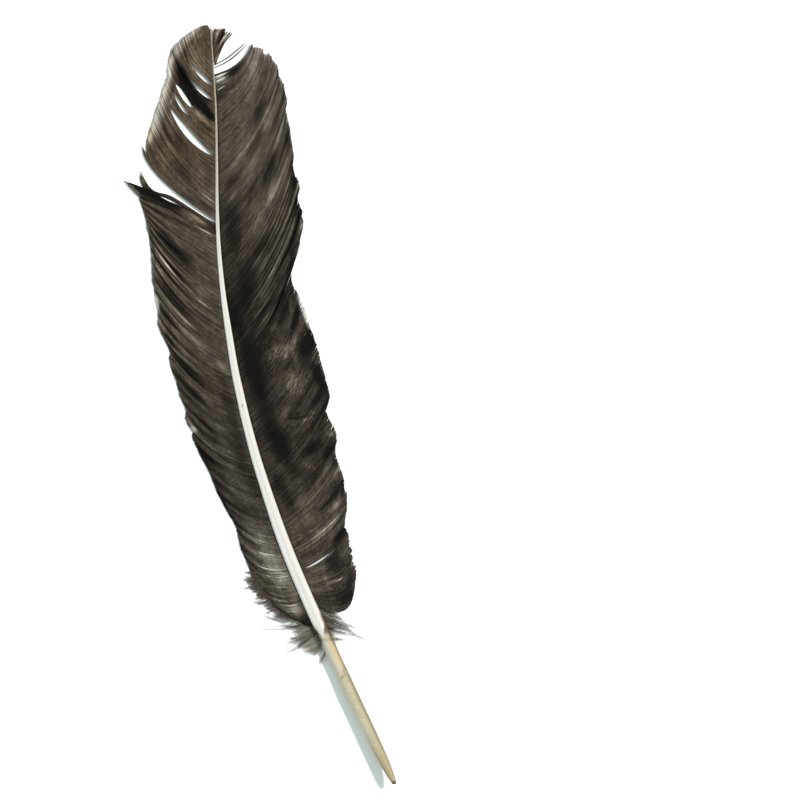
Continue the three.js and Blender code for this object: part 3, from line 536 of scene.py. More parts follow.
# narrow vane, upper part ----------------------------------------------------
PALE_OU = [(174, 58, 18, 4.5, 62, 1.1), (168, 78, 9, 2.4, 80, 0.7), (162, 98, 28, 4.5, 75, 1.3), (153, 128, 17, 4, 76, 1.3), (170, 56, 16, 4, 70, 0.6), (172, 118, 12, 4, 75, 0.5), (148, 139, 8, 4, 60, 0.8), (172, 100, 6, 2, 60, 0.8), (163, 156, 14, 1.5, 0.6), (197, 34, 12, 5, 30, 0.5), (196, 60, 22, 9, -60, 0.3),
    (170, 148, 12, 2, 0.5), (206, 190, 18, 6, 0.3), (208, 199, 9, 0.8, 1.0), (210, 203.5, 6, 0.6, 0.8), (172, 60, 9, 1.0, 72, 1.2), (165, 92, 8, 1.2, 72, 1.0), (197, 70, 14, 5, -40, 0.5), (200, 118, 16, 5, -45, 0.5), (192, 130, 16, 4, 0.35)]
# darker markings, and painted shadow: the black band where the tip lock rides over the next one and the dark crease
# above it
DARK_AND_SHADE_OU = [(187, 90, 15, 6, -60, 3.0), (183, 75, 9, 4, -68, 2.6), (200, 104, 13, 4.5, -50, 2.8), (210, 115, 8, 3, -48, 2.4), (184, 50, 15, 1.2, -72, 1.5), (208, 97, 6, 3, 0.8), (204, 126, 12, 2, 0.8),
    (161, 117, 12, 1.3, -68, 1.0), (180, 142, 14, 5, 0.5), (182, 170, 16, 6, 0.5), (205, 206, 12, 3, 0.4), (176, 60, 12, 1.0, -66, 0.9), (168, 138, 12, 1.4, 0.7)]
SLITS_OU = [(157.5, 0.0, 0.80, 5.6, 9, 0.56), (125.5, 0.34, 0.74, 4.6, 6, 0.55), (139.5, 0.42, 0.80, 3.2, 6, 0.5), (86, 0.0, 0.58, 3.2, 4, 0.45), (101, 0.0, 0.48, 3.0, 4, 0.45),
    (124.5, 0.18, 0.34, 1.2, 3, 0.5), (108, 0.02, 0.12, 0.8, 3, 0.5), (205, 0.01, 0.26, 0.8, 3, 0.5), (120, 0.01, 0.08, 0.7, 3, 0.5)]


def lift_ou(v, s, u, w):
    # the tip lock rides over the next one, whose barbs dip into shade
    return -0.5 * smooth(104, 109, v) * (1 - smooth(120, 132, v)) * smooth(0.02, 0.2, s) + 0.7 * smooth(60, 98, v) * (1 - smooth(102, 106, v)) * smooth(0.1, 0.5, s)


def shift_ou(v, s):
    return v + 0.8 * np.sin(np.pi * np.clip(s, 0, 1)) * np.exp(-(220 - np.minimum(v, 220)) / 8)


def tip_ou(v, s, u, w):
    return 0.75 * smooth(0.80, 1.0, s) * smooth(36, 60, v) * (1 - smooth(190, 214, v)) * (0.4 + 0.6 * np.sin(v * 1.3) ** 2) + lumps(u, w, [(169, 78, 7, 1.4, 80, 0.8), (154, 122, 14, 1.2, 74, 0.5)])


vane("outer_vane_upper_barbs", -1, 31, 220, EDGE_OU, TIP_OU, ANG_OU, H_OU, lambda v: np.interp(v, [31, 80, 120, 220], [0.08, 0.12, 0.14, 0.14]), SLITS_OU, PALE_OU, DARK_AND_SHADE_OU,
     node="outer_vane_upper", lift=lift_ou, shift=shift_ou, tips=tip_ou, ridges=(7, 13), crest_furrow_shade_amount=0.45, env=(0.3, 1.0), low=0.4, warm=lambda u, w: 0.9 - 0.5 * smooth(150, 215, w),
     tone=lambda u, w: np.interp(w, [30, 100, 150, 215], [0.50, 0.48, 0.42, 0.34]), thin=lambda v, s, u, w: 1 - 0.85 * smooth(217.6, 218.8, v) * smooth(0.80, 0.99, s))

# narrow vane, lower part ----------------------------------------------------
PALE_OL = [(166, 264, 17, 1.4, 1.8), (159, 268, 10, 1.0, 0.9), (168, 306, 18, 2.2, 1.0), (185, 321, 14, 2.4, 0.8), (180, 331, 16, 2.6, 0.6), (204, 304, 11, 0.7, 2.0), (204, 231, 10, 0.8, 1.6),
    (209, 245, 5, 0.7, 1.0), (156.5, 303, 6, 2.0, -80, 2.0), (151.6, 253, 12, 0.9, -86, 1.0), (206, 265, 30, 12, 90, 0.25), (195, 340, 24, 5, 0.5), (188, 361, 14, 2, 0.6), (222, 366, 7, 4, 0.9),
    (184, 385, 10, 2, 0.6), (188, 418, 8, 2, 0.9), (193, 428.5, 5, 2.2, 1.6), (220, 427, 6, 3, 0.8), (212, 449, 12, 2, 0.7), (226, 450, 10, 2.5, 0.4), (231, 473, 12, 3, 0.4), (263, 545, 30, 12, -62, 0.85), (284, 578, 26, 10, -58, 0.8), (272, 575, 20, 9, -60, 0.2), (270, 592, 10, 1.0, 0.8), (280, 600, 9, 0.8, 1.0), (277, 587, 8, 0.8, 0.9),
    (266, 554, 9, 0.7, 1.7), (266, 568, 9, 0.7, 1.7), (267, 575, 5, 0.7, 1.0), (281, 580, 6, 5, 60, 0.4), (200, 395, 14, 3, 0.4), (240, 495, 14, 4, 0.3), (175, 240, 10, 2, 0.4), (176, 352, 10, 1.5, 0.6)]
# darker markings, strengthened as painted shade in the furrows near the left edge
DARK_AND_SHADE_OL = [(172, 248, 26, 5.5, 1.4), (151, 245, 16, 2.4, -78, 1.1), (172, 268, 20, 1.8, 1.4), (174, 299, 26, 2.2, 1.5), (168, 318, 18, 2.2, 1.3), (170, 340, 8, 1.4, -60, 1.6), (186, 368, 24, 3, 1.4),
    (191, 392, 20, 3, 1.2), (204, 424, 10, 3, 1.0), (204, 455, 20, 5, 1.1), (202, 462, 16, 4, -60, 0.9), (229, 522, 16, 5.5, -62, 1.6), (244, 508, 14, 4, 0.5), (303, 603, 10, 3, -62, 0.7),
    (216, 490, 18, 5, -62, 1.0), (238, 545, 14, 4, -64, 0.9), (250, 575, 12, 3, -60, 0.4), (230, 408, 34, 6, -72, 0.5), (178, 222, 18, 3, 0.7), (162, 352, 6, 2, -60, 0.8), (245, 465, 40, 7, -68, 0.5)]
SLITS_OL = [(312, 0.04, 0.42, 0.7, 3, 0.5), (240, 0.01, 0.3, 0.5, 3, 0.5), (570, 0.1, 0.45, 0.6, 2.5, 0.5), (584, 0.1, 0.4, 0.6, 2.5, 0.5)]


def tip_ol(v, s, u, w):
    a = 0.35 * smooth(0.92, 1.0, s) * (0.5 + 0.5 * np.sin(v * 0.7)) * (1 - smooth(330, 480, v))
    return a + lumps(u, w, [(156.4, 303, 6, 1.8, -80, 1.2), (194, 429, 3.5, 1.6, -50, 0.8), (164, 262, 12, 0.6, -52, 0.4)])


vane("outer_vane_lower_barbs", -1, 236, 598, EDGE_OL, TIP_OL, ANG_OL, H_OL,
     lambda v: np.interp(v, [236, 260, 330, 380, 460, 600], [0.35, 0.50, 0.50, 0.40, 0.32, 0.12]), SLITS_OL, PALE_OL, DARK_AND_SHADE_OL, node="outer_vane_lower", tips=tip_ol,
     ridges=(8, 14), crest_furrow_shade_amount=0.8, env=(0.22, 0.85), low=0.35, warm=lambda u, w: 0.45 - 0.42 * smooth(330, 460, w),
     tone=lambda u, w: np.interp(w, [190, 340, 380, 440, 500, 530, 600], [0.32, 0.26, 0.16, 0.14, 0.10, 0.26, 0.36]), rough=lambda v: 1 + 3.0 * smooth(566, 588, v), fine=lambda v: 0.8 * np.exp(-((v - 325) / 60) ** 2))


EDGE_OD = polyline([(256, 584), (263, 594), (270, 603), (280, 611.5), (291, 618), (302, 624), (309, 629)])
TIP_OD = pchip([(594, 0), (602, 14), (610, 28), (617, 42), (624, 58)])
ANG_OD = [(594, -24, 50), (603, -28, 44), (612, -30, 36), (624, -28, 20)]
H_OD = pchip([(594, 0.32), (606, 0.35), (624, 0.5)])
PALE_OD = [(288, 600, 26, 12, -38, 1.0), (298, 611, 12, 5, -45, 1.0), (290, 604, 8, 0.8, 1.2), (284, 597, 8, 0.8, 1.0), (288, 611, 7, 0.8, 1.4)]
DARK_OD = [(259, 588, 16, 3, -52, 0.3), (305, 619, 8, 5, -55, 1.2)]
vane("outer_down_fringe", -1, 599, 624, EDGE_OD, TIP_OD, ANG_OD, H_OD, lambda v: 0.2 + 0 * v, [], PALE_OD, DARK_OD, node=None, m=28, step=0.7, clump=0.55, fray=0.8, grow=4.0,
     thin=lambda v, s, u, w: 1 - 0.45 * smooth(0.45, 0.9, s))


# ------------------------------------------------------------------ single locks, given by their long edges
def lock(name, e0, e1, zs, n, node, mat=None, m=30, tilt=0.15, pale=(), dark=(), crown=0.25, over=0.75, grow=1.0, tipfade=0.0, twist=None):
    a, b, zf = polyline(e0), polyline(e1), pchip(zs)
    t = np.linspace(0, 1, n)[:, None]
    s = np.linspace(0, 1, m)[None, :]
    tt = t + RNG.normal(0, 0.3 / n, (n, 1)) * smooth(0.2, 1, s)
    end = 1 - RNG.random((n, 1)) * 0.10 * grow
    sa = s * end
    au, av = a(sa * a.total)
    bu, bv_ = b(sa * b.total)
    pu, pv = au + tt * (bu - au), av + tt * (bv_ - av)
    k = np.array([1, 3, 5, 3, 1.0]) / 13
    for _ in range(2):                                            # round off the corners of the edge lines
        for arr in (pu, pv):
            q = np.pad(arr, ((0, 0), (2, 2)), "edge")
            arr[:, 1:-1] = sum(k[j] * q[:, j:j + arr.shape[1]] for j in range(5))[:, 1:-1]
    z = zf(s) + crown * np.sin(np.pi * t) + RNG.normal(0, 0.03, (n, 1)) + 0 * pu
    gap = np.hypot(bu - au, bv_ - av) / max(n - 1, 1) * U
    hw = np.clip(over * gap, 0.05, 0.45) * (1 - 0.7 * smooth(0.9, 1, s)) + 0 * pu
    tl = tilt * (1 + 0.4 * RNG.normal(0, 1, (n, 1))) + 0 * pu
    if twist is not None:
        tl = tl + twist(s)
    at = dict(bv=t * 12 + 100 + 0 * s, bs=s + 0 * t, rb=RNG.random((n, 1)) + 0 * s, grp=RNG.random((n, 1)) + 0 * s, pale=lumps(pu, pv, pale), dark=lumps(pu, pv, dark), rumple=0 * pu, warm=0.5 + 0 * pu,
              tip=tipfade * smooth(0.85, 1, s) + 0 * pu)
    return ribbons(name, place(pu, pv, z), hw * 0.001, tl, 0.34, 0.26, at, mat or VANE, node)


lock("outer_spike_barbs",
     [(216.4, 223.9), (207, 219.3), (200, 214.4), (192, 209.4), (185, 204.4), (178, 200.2), (170, 195.2), (165, 193.6), (158, 193.6), (152.5, 191), (148, 186.6), (143.6, 178.6), (141, 170)],
     [(216.4, 227.6), (207, 223), (200, 218.5), (192, 213), (185, 208.4), (178, 203.8), (170, 199.2), (163, 196.2), (152, 193.2), (145, 189.6), (140.8, 185), (139.4, 178), (140.4, 170)],
     [(0, 0.7), (0.6, 0.45), (1, 0.45)], 8, "outer_spike_lock", pale=[(141, 182, 8, 3, 80, 0.9)], grow=0.2, dark=[(152, 190, 6, 2, -40, 1.0)])
# the twisted lock: painted shade on its dark side and a painted highlight on its lit brown side
lock("outer_bent_barbs",
     [(216.4, 227.6), (200, 219), (185, 209.6), (177, 204.6), (170, 202.6), (163, 198.9), (158, 195.6), (152, 191.6), (141, 187.3), (132, 183.6), (123.6, 180.2)],
     [(216.4, 236.4), (200, 228.5), (185, 219), (172, 210.2), (158, 204.0), (148, 201.0), (143, 199.0), (138, 195.2), (131, 187.9), (123.2, 180.9)],
     [(0, 0.7), (0.45, 0.85), (0.62, 1.05), (0.8, 1.0), (1, 0.8)], 11, "outer_bent_lock", mat=SHADED_DARK_VANE, pale=[(131.5, 187.4, 7, 1.9, -40, 2.2), (137.5, 193, 5, 1.2, -42, 1.8), (192, 216, 16, 8, -35, 1.0), (203, 222, 12, 3, -35, 0.8)],
     dark=[(150, 192.5, 14, 4.6, -20, 1.5), (165, 201, 14, 3.6, -26, 1.5), (134, 184.5, 12, 1.3, -18, 1.2)], crown=0.3, grow=0.15, over=0.85)
lock("inner_tip_barbs",
     [(213, 45), (213.2, 36), (214.6, 28.2)],
     [(214, 56), (217.2, 46), (221.4, 36), (226, 28.4)],
     [(0, 0.9), (0.5, 1.1), (1, 1.3)], 18, "inner_tip_tuft", crown=0.25, pale=[(219, 33, 6, 3, 60, 1.5), (217, 44, 8, 1.4, 65, 0.7), (217, 38, 14, 8, 62, 0.7)], dark=[(214, 40, 8, 1.0, 85, 1.0), (223, 29, 5, 2, 60, 0.6)], grow=0.5)
lock("inner_tip_curl",
     [(213.6, 51), (216, 43), (218.8, 35.6), (220.8, 30.4), (222.6, 26.6)],
     [(215, 65.5), (219.6, 54), (222.4, 47), (226, 41), (230, 36.5), (233.2, 32.8)],
     [(0, 1.1), (0.5, 1.6), (0.8, 1.9), (1, 1.7)], 16, None, crown=0.35, dark=[(221, 38, 9, 1.6, 62, 1.6), (222, 47, 8, 1.4, 60, 1.2), (229, 35, 5, 1.2, 50, 0.8)], pale=[(226, 36, 7, 1.6, 55, 1.4), (218, 56, 6, 1.2, 62, 1.0), (222, 41, 7, 0.8, 60, 1.2), (223, 43, 16, 8, 60, 0.6)],
     tilt=0.45, grow=0.9)
lock("inner_stray_barb_pair",
     [(214.4, 65.4), (222, 61.4), (229, 57.4), (236, 51.8), (242, 46.4), (248.2, 40.8)],
     [(214.8, 67.8), (223, 64.4), (230.4, 60.2), (237.6, 54.4), (243.4, 48.8), (248.6, 42.0)],
     [(0, 0.9), (0.5, 1.2), (1, 1.5)], 2, "inner_stray_barbs", over=0.17, crown=0.0, grow=0.2)


# ------------------------------------------------------------------ down
def down_material():
    m, t = nodes_of("feather_down")
    out = node(t, "ShaderNodeOutputMaterial")
    bs = node(t, "ShaderNodeBsdfPrincipled")
    t.links.new(bs.outputs[0], out.inputs[0])
    f = noise(t, combine(t, math_(t, "MULTIPLY", attr(t, "rb"), 30.0), math_(t, "MULTIPLY", attr(t, "bs"), 5.0), 1.0), 1.0, 3.0, 0.6)
    f = math_(t, "ADD", f, math_(t, "MULTIPLY", attr(t, "tip"), 0.32))
    c = ramp(t, f, [(0.0, (0.014, 0.010, 0.006)), (0.16, (0.040, 0.029, 0.019)), (0.42, (0.128, 0.103, 0.074)), (0.70, (0.32, 0.285, 0.225)), (0.92, (0.52, 0.485, 0.42))])
    t.links.new(c, bs.inputs["Base Color"])
    bs.inputs["Roughness"].default_value = 0.8
    bs.inputs["Specular IOR Level"].default_value = 0.2
    return m


DOWN = down_material()


def down(name, side, wisps, fuzz, count, node, seed, fringe=None):
    """downy barbs with loose barbules. wisps: (root v, tip u, tip v, sag, barbs, shade 0 pale..1 dark, breadth) are bundles;
    fuzz: (root v, tip u, tip v) is the line that the thin pale barbs between them reach"""
    rng = np.random.default_rng(seed)
    V, F, AT = [], [], dict(rb=[], bs=[], tip=[])
    base = 0

    def filament(pts, r0, r1, rb, tipv):
        nonlocal base
        pts = np.asarray(pts)
        k = len(pts)
        T = np.gradient(pts, axis=0)
        T /= np.maximum(np.linalg.norm(T, axis=1, keepdims=True), 1e-9)
        S = np.cross(T, [0, 0, 1.0])
        S /= np.maximum(np.linalg.norm(S, axis=1, keepdims=True), 1e-9)
        N = np.cross(S, T)
        r = np.linspace(r0, r1, k)[:, None]
        ring = np.stack([pts + S * r, pts - S * r * 0.5 + N * r * 0.87, pts - S * r * 0.5 - N * r * 0.87], 1).reshape(-1, 3)
        V.append(ring)
        for i in range(k - 1):
            for j in range(3):
                a, b = base + 3 * i + j, base + 3 * i + (j + 1) % 3
                F.append((a, b, b + 3))
                F.append((a, b + 3, a + 3))
        F.append((base + 2, base + 1, base))
        e = base + 3 * (k - 1)
        F.append((e, e + 1, e + 2))
        AT["rb"].append(np.full(3 * k, rb))
        AT["bs"].append(np.repeat(np.linspace(0, 1, k), 3))
        AT["tip"].append(np.full(3 * k, tipv))
        base += 3 * k

    def barb(v, E, sag, side_off, shade, nb, ln0, ln1, wav, rad, open_, top):
        t = float(su(v + 0.5) - su(v - 0.5))
        tl = math.hypot(t, 1)
        off = side * float(sw(v)) * 0.42
        R = np.array([float(su(v)) + off / tl, v - off * t / tl])
        z0 = float(ZB(v) + 0.5 * depth(v))
        k = 14
        s = np.linspace(0, 1, k)
        ph, am = rng.random() * 6.28, rng.uniform(0.3, 1.0) * wav
        d = (E - R) / max(np.hypot(*(E - R)), 1e-6)
        wv = am * (np.sin(ph + s * rng.uniform(4, 8)) * s + 0.35 * np.sin(ph * 2 + s * rng.uniform(12, 20)) * s) + side_off * np.sin(np.pi * s ** 0.8)
        pu = R[0] + s * (E[0] - R[0]) - wv * d[1]
        pv = R[1] + s * (E[1] - R[1]) + sag * 4 * s * (1 - s) * 0.8 + wv * d[0]
        zt = rng.uniform(0.22, top) if top < 1.4 else rng.uniform(0.9, top)
        z = np.maximum(z0 + (zt - z0) * s ** 0.55 + 0.15 * np.sin(ph + s * 7) * s, 0.20)
        P = place(pu, pv, z)
        rb = rng.random()
        filament(P, rad, rad * 0.3, rb, -shade)
        for q in range(nb):
            sp = 0.10 + 0.90 * (q + rng.random()) / nb
            x = sp * (k - 1)
            a = min(int(x), k - 2)
            p = P[a] + (x - a) * (P[a + 1] - P[a])
            dr = P[a + 1] - P[a]
            dr /= np.linalg.norm(dr) + 1e-12
            sd = np.cross(dr, [0, 0, 1.0]) * (1 if q % 2 else -1)
            ln = rng.uniform(ln0, ln1) * (0.5 + 0.6 * math.sin(math.pi * min(sp, 0.98))) * (1 - 0.45 * sp)
            di = dr + sd * rng.uniform(0.4, 1.0) * open_ + np.array([0, 0, rng.normal(0, 0.15)])
            di /= np.linalg.norm(di)
            bend = dr * rng.uniform(0.1, 0.5) + sd * rng.normal(0, 0.3) * open_ + np.array([0, 0, rng.normal(0, 0.15)])
            pts = [p, p + di * ln * 0.5, p + di * ln * 0.9 + bend * ln * 0.3]
            pts = [np.array([c[0], c[1], max(c[2], 0.00012)]) for c in pts]
            filament(pts, 0.000030, 0.000010, rb, 0.9 * (1 - shade) - 0.7 * shade)

    # bundles: every barb leaves the shaft on its own, they lie together along the middle and part a little at the tip
    for v, tu, tv, sag, nb, shade, fat in wisps:
        R = np.array([float(su(v)) + side * 5, v])
        curl = rng.normal(0, 2.4)
        for i in range(nb):
            so = curl + rng.normal(0, 0.3) * fat
            E = R + (np.array([tu, tv]) - R) * (1 - 0.30 * min(fat, 1) ** 3 * (1 - rng.random() ** 0.6)) + rng.normal(0, 0.25 + 0.25 * fat, 2)
            barb(v + rng.normal(0, 1.3), E, sag + rng.normal(0, 0.5), so, shade * rng.uniform(0.7, 1.0), 30, 0.0003 + 0.0004 * max(1 - shade, 0), 0.0010 + 0.0008 * max(1 - shade, 0), 1.2, 0.000120 if shade > 1.2 else 0.000072, 0.4 + 0.35 * max(1 - shade, 0), 0.8 + 0.7 * (shade > 1.2))
    # hairs standing out from the edge of the vane above: (edge line, count, shade)
    if fringe:
        line, number, dark_ = fringe
        heads = np.sort(rng.random(number // 6)) * line.total
        for i in range(number):
            h = int(rng.integers(len(heads)))
            q = float(np.clip(heads[h] + rng.normal(0, 1.3), 0, line.total))
            eu, ev = (float(x) for x in line(heads[h]))
            gu, gv = (float(x) for x in line(heads[h] + 1.0))
            hu, hv = (float(x) for x in line(heads[h] - 1.0))
            t = np.array([gu - hu, gv - hv]) / max(math.hypot(gu - hu, gv - hv), 1e-6)      # along the edge, toward the stem
            o = np.array([t[1], -t[0]]) * -side                                            # inward
            k, s = 9, np.linspace(0, 1, 9)
            ha, hb, hc = (math.sin(h * 12.9898 + 1.0) * 43758.5453 % 1.0), (math.sin(h * 78.233 + 2.0) * 12543.12 % 1.0), (math.sin(h * 37.7 + 3.0) * 9341.7 % 1.0)
            w0, w1 = rng.uniform(3, 17), 2.0 + 9.5 * ha ** 2.0 * rng.uniform(0.7, 1.0) + rng.uniform(0, 1.6)
            sl = -(0.5 + 5.5 * hb) * (0.35 + 0.65 * w1 / 8) + rng.normal(0, 0.5)
            w1 = w1 * (0.35 + 0.65 * float(smooth(0, 9, heads[h])))
            c = np.array([eu, ev]) + np.outer(w0 * (1 - s) - w1 * s, o) + np.outer((q - heads[h]) * (1 - s ** 1.3) + sl * s + (0.3 * w0 + 0.8 * rng.normal()) * np.sin(np.pi * s ** 0.8), t)
            z = 0.62 + 0.115 * w0 + (rng.uniform(0.22, 0.7) - 0.62 - 0.115 * w0) * s ** 0.8
            P = place(c[:, 0], c[:, 1], z)
            rb, sh = 0.7 * hc + 0.3 * rng.random(), dark_ * (0.35 + 0.65 * hc) * rng.uniform(0.8, 1.0)
            filament(P, 0.000080, 0.000018, rb, -sh)
            for x in np.sort(rng.random(7)):
                a = min(int((0.35 + 0.65 * x) * (k - 1)), k - 2)
                dr = P[a + 1] - P[a]
                dr /= np.linalg.norm(dr) + 1e-12
                sd = np.cross(dr, [0, 0, 1.0]) * rng.choice([-1.0, 1.0])
                di = dr + sd * rng.uniform(0.2, 0.8)
                ln = rng.uniform(0.0003, 0.0010)
                pts = [P[a], P[a] + di * ln * 0.55, P[a] + di * ln + sd * ln * rng.uniform(-0.3, 0.3)]
                filament(np.array(pts), 0.000026, 0.000009, rb, 0.5 * (1 - sh) - 0.5 * sh)
    fz = np.array(fuzz, float)
    for i in range(count):
        x = rng.random() ** 0.65 * (len(fz) - 1)
        j = int(x)
        v, tu, tv = fz[j] + (x - j) * (fz[j + 1] - fz[j])
        R = np.array([float(su(v)) + side * 5, v])
        E = R + (np.array([tu, tv]) + rng.normal(0, 2.6, 2) - R) * (0.5 + 0.5 * rng.random())
        barb(v + rng.normal(0, 1.0), E, rng.uniform(0, 3), rng.normal(0, 2.0), (rng.random() ** 2 * 0.8 if v < 624 else rng.uniform(-0.5, 0.5)), 34, 0.0008, 0.0021, 1.8, 0.000050, 0.9, 0.9)
    return mesh(name, np.concatenate(V), np.array(F), {q: np.concatenate(x) for q, x in AT.items()}, DOWN, node, bake_plan=True)


down("outer_down_barbs", -1,
     [(598, 246, 575, 10, 6, 0.9, 2), (600, 247, 584, 10, 5, 1.0, 2), (602, 251, 592, 10, 6, 0.8, 2), (604, 248, 600, 9, 4, 0.5, 1), (606, 256, 601, 9, 6, 0.9, 2), (608, 262, 609, 9, 7, 1.0, 2),
      (610, 259, 614, 7, 4, 0.6, 1), (612, 262, 617.5, 6, 4, 0.5, 1), (614, 271, 617, 7, 6, 0.9, 2), (617, 279, 622, 6, 7, 1.0, 2), (616, 270, 624, 6, 4, 0.8, 1), (620, 254.5, 629, 4, 3, 0.5, 0.6), (621, 287, 628, 4, 6, 0.7, 2),
      (624, 285, 642, 3, 8, 0.6, 2), (626, 283, 645, 3, 5, 0.9, 1), (627, 290, 640, 3, 7, 0.35, 3), (629, 284, 654.5, 2, 7, 1.0, 1), (631, 297, 648, 2, 8, 0.3, 3), (634, 303, 650, 1, 8, 0.2, 3), (637, 308, 655, 1, 5, 0.2, 2),
      (641, 314, 657, 0, 6, 0.2, 1), (645, 319, 666, 0, 6, 0.15, 1), (610, 300, 615, 2, 10, 1.4, 3), (614, 302, 620, 2, 12, 1.5, 3), (618, 306, 626, 2, 12, 1.5, 3), (622, 310, 630, 1, 10, 1.5, 2)],
     [(600, 252, 590), (606, 260, 606), (612, 268, 616), (618, 280, 626), (624, 284, 637), (628, 286, 643), (633, 291, 648), (638, 301, 652), (644, 311, 655)], 78, "outer_down", 11,
     fringe=(polyline([(247, 571), (250, 577), (254, 585), (259, 592), (265, 599.5), (272, 606), (280, 611.5), (288, 616), (296, 620)]), 350, 1.0))
down("inner_down_barbs", 1,
     [(606, 329, 606.5, -2, 6, 0.2, 2), (609, 335, 612, 0, 6, 0.3, 2), (612, 341, 618, 0, 7, 0.5, 2), (615, 347, 622, 0, 8, 0.5, 2.5), (618, 359, 629, 1, 9, 1.0, 2), (621, 351, 632, 1, 6, 0.6, 2),
      (623, 370, 642, 1, 8, 1.0, 1.2), (626, 358, 636, 1, 5, 0.85, 1), (629, 350, 641.5, 1, 4, 0.5, 1), (632, 341, 640, 1, 5, 0.6, 1.5), (636, 337, 645, 1, 6, 0.8, 1.5), (616, 331, 622, 0, 12, 1.5, 2.5), (618, 333, 626, 0, 14, 1.6, 2.5), (621, 334, 629, 0, 14, 1.6, 2.5),
      (624, 335, 632, 0, 14, 1.6, 2.5), (628, 334, 636, 0, 10, 1.5, 2.5)],
     [(608, 332, 609), (614, 344, 619), (620, 350, 628), (628, 344, 636)], 30, "inner_down", 12)


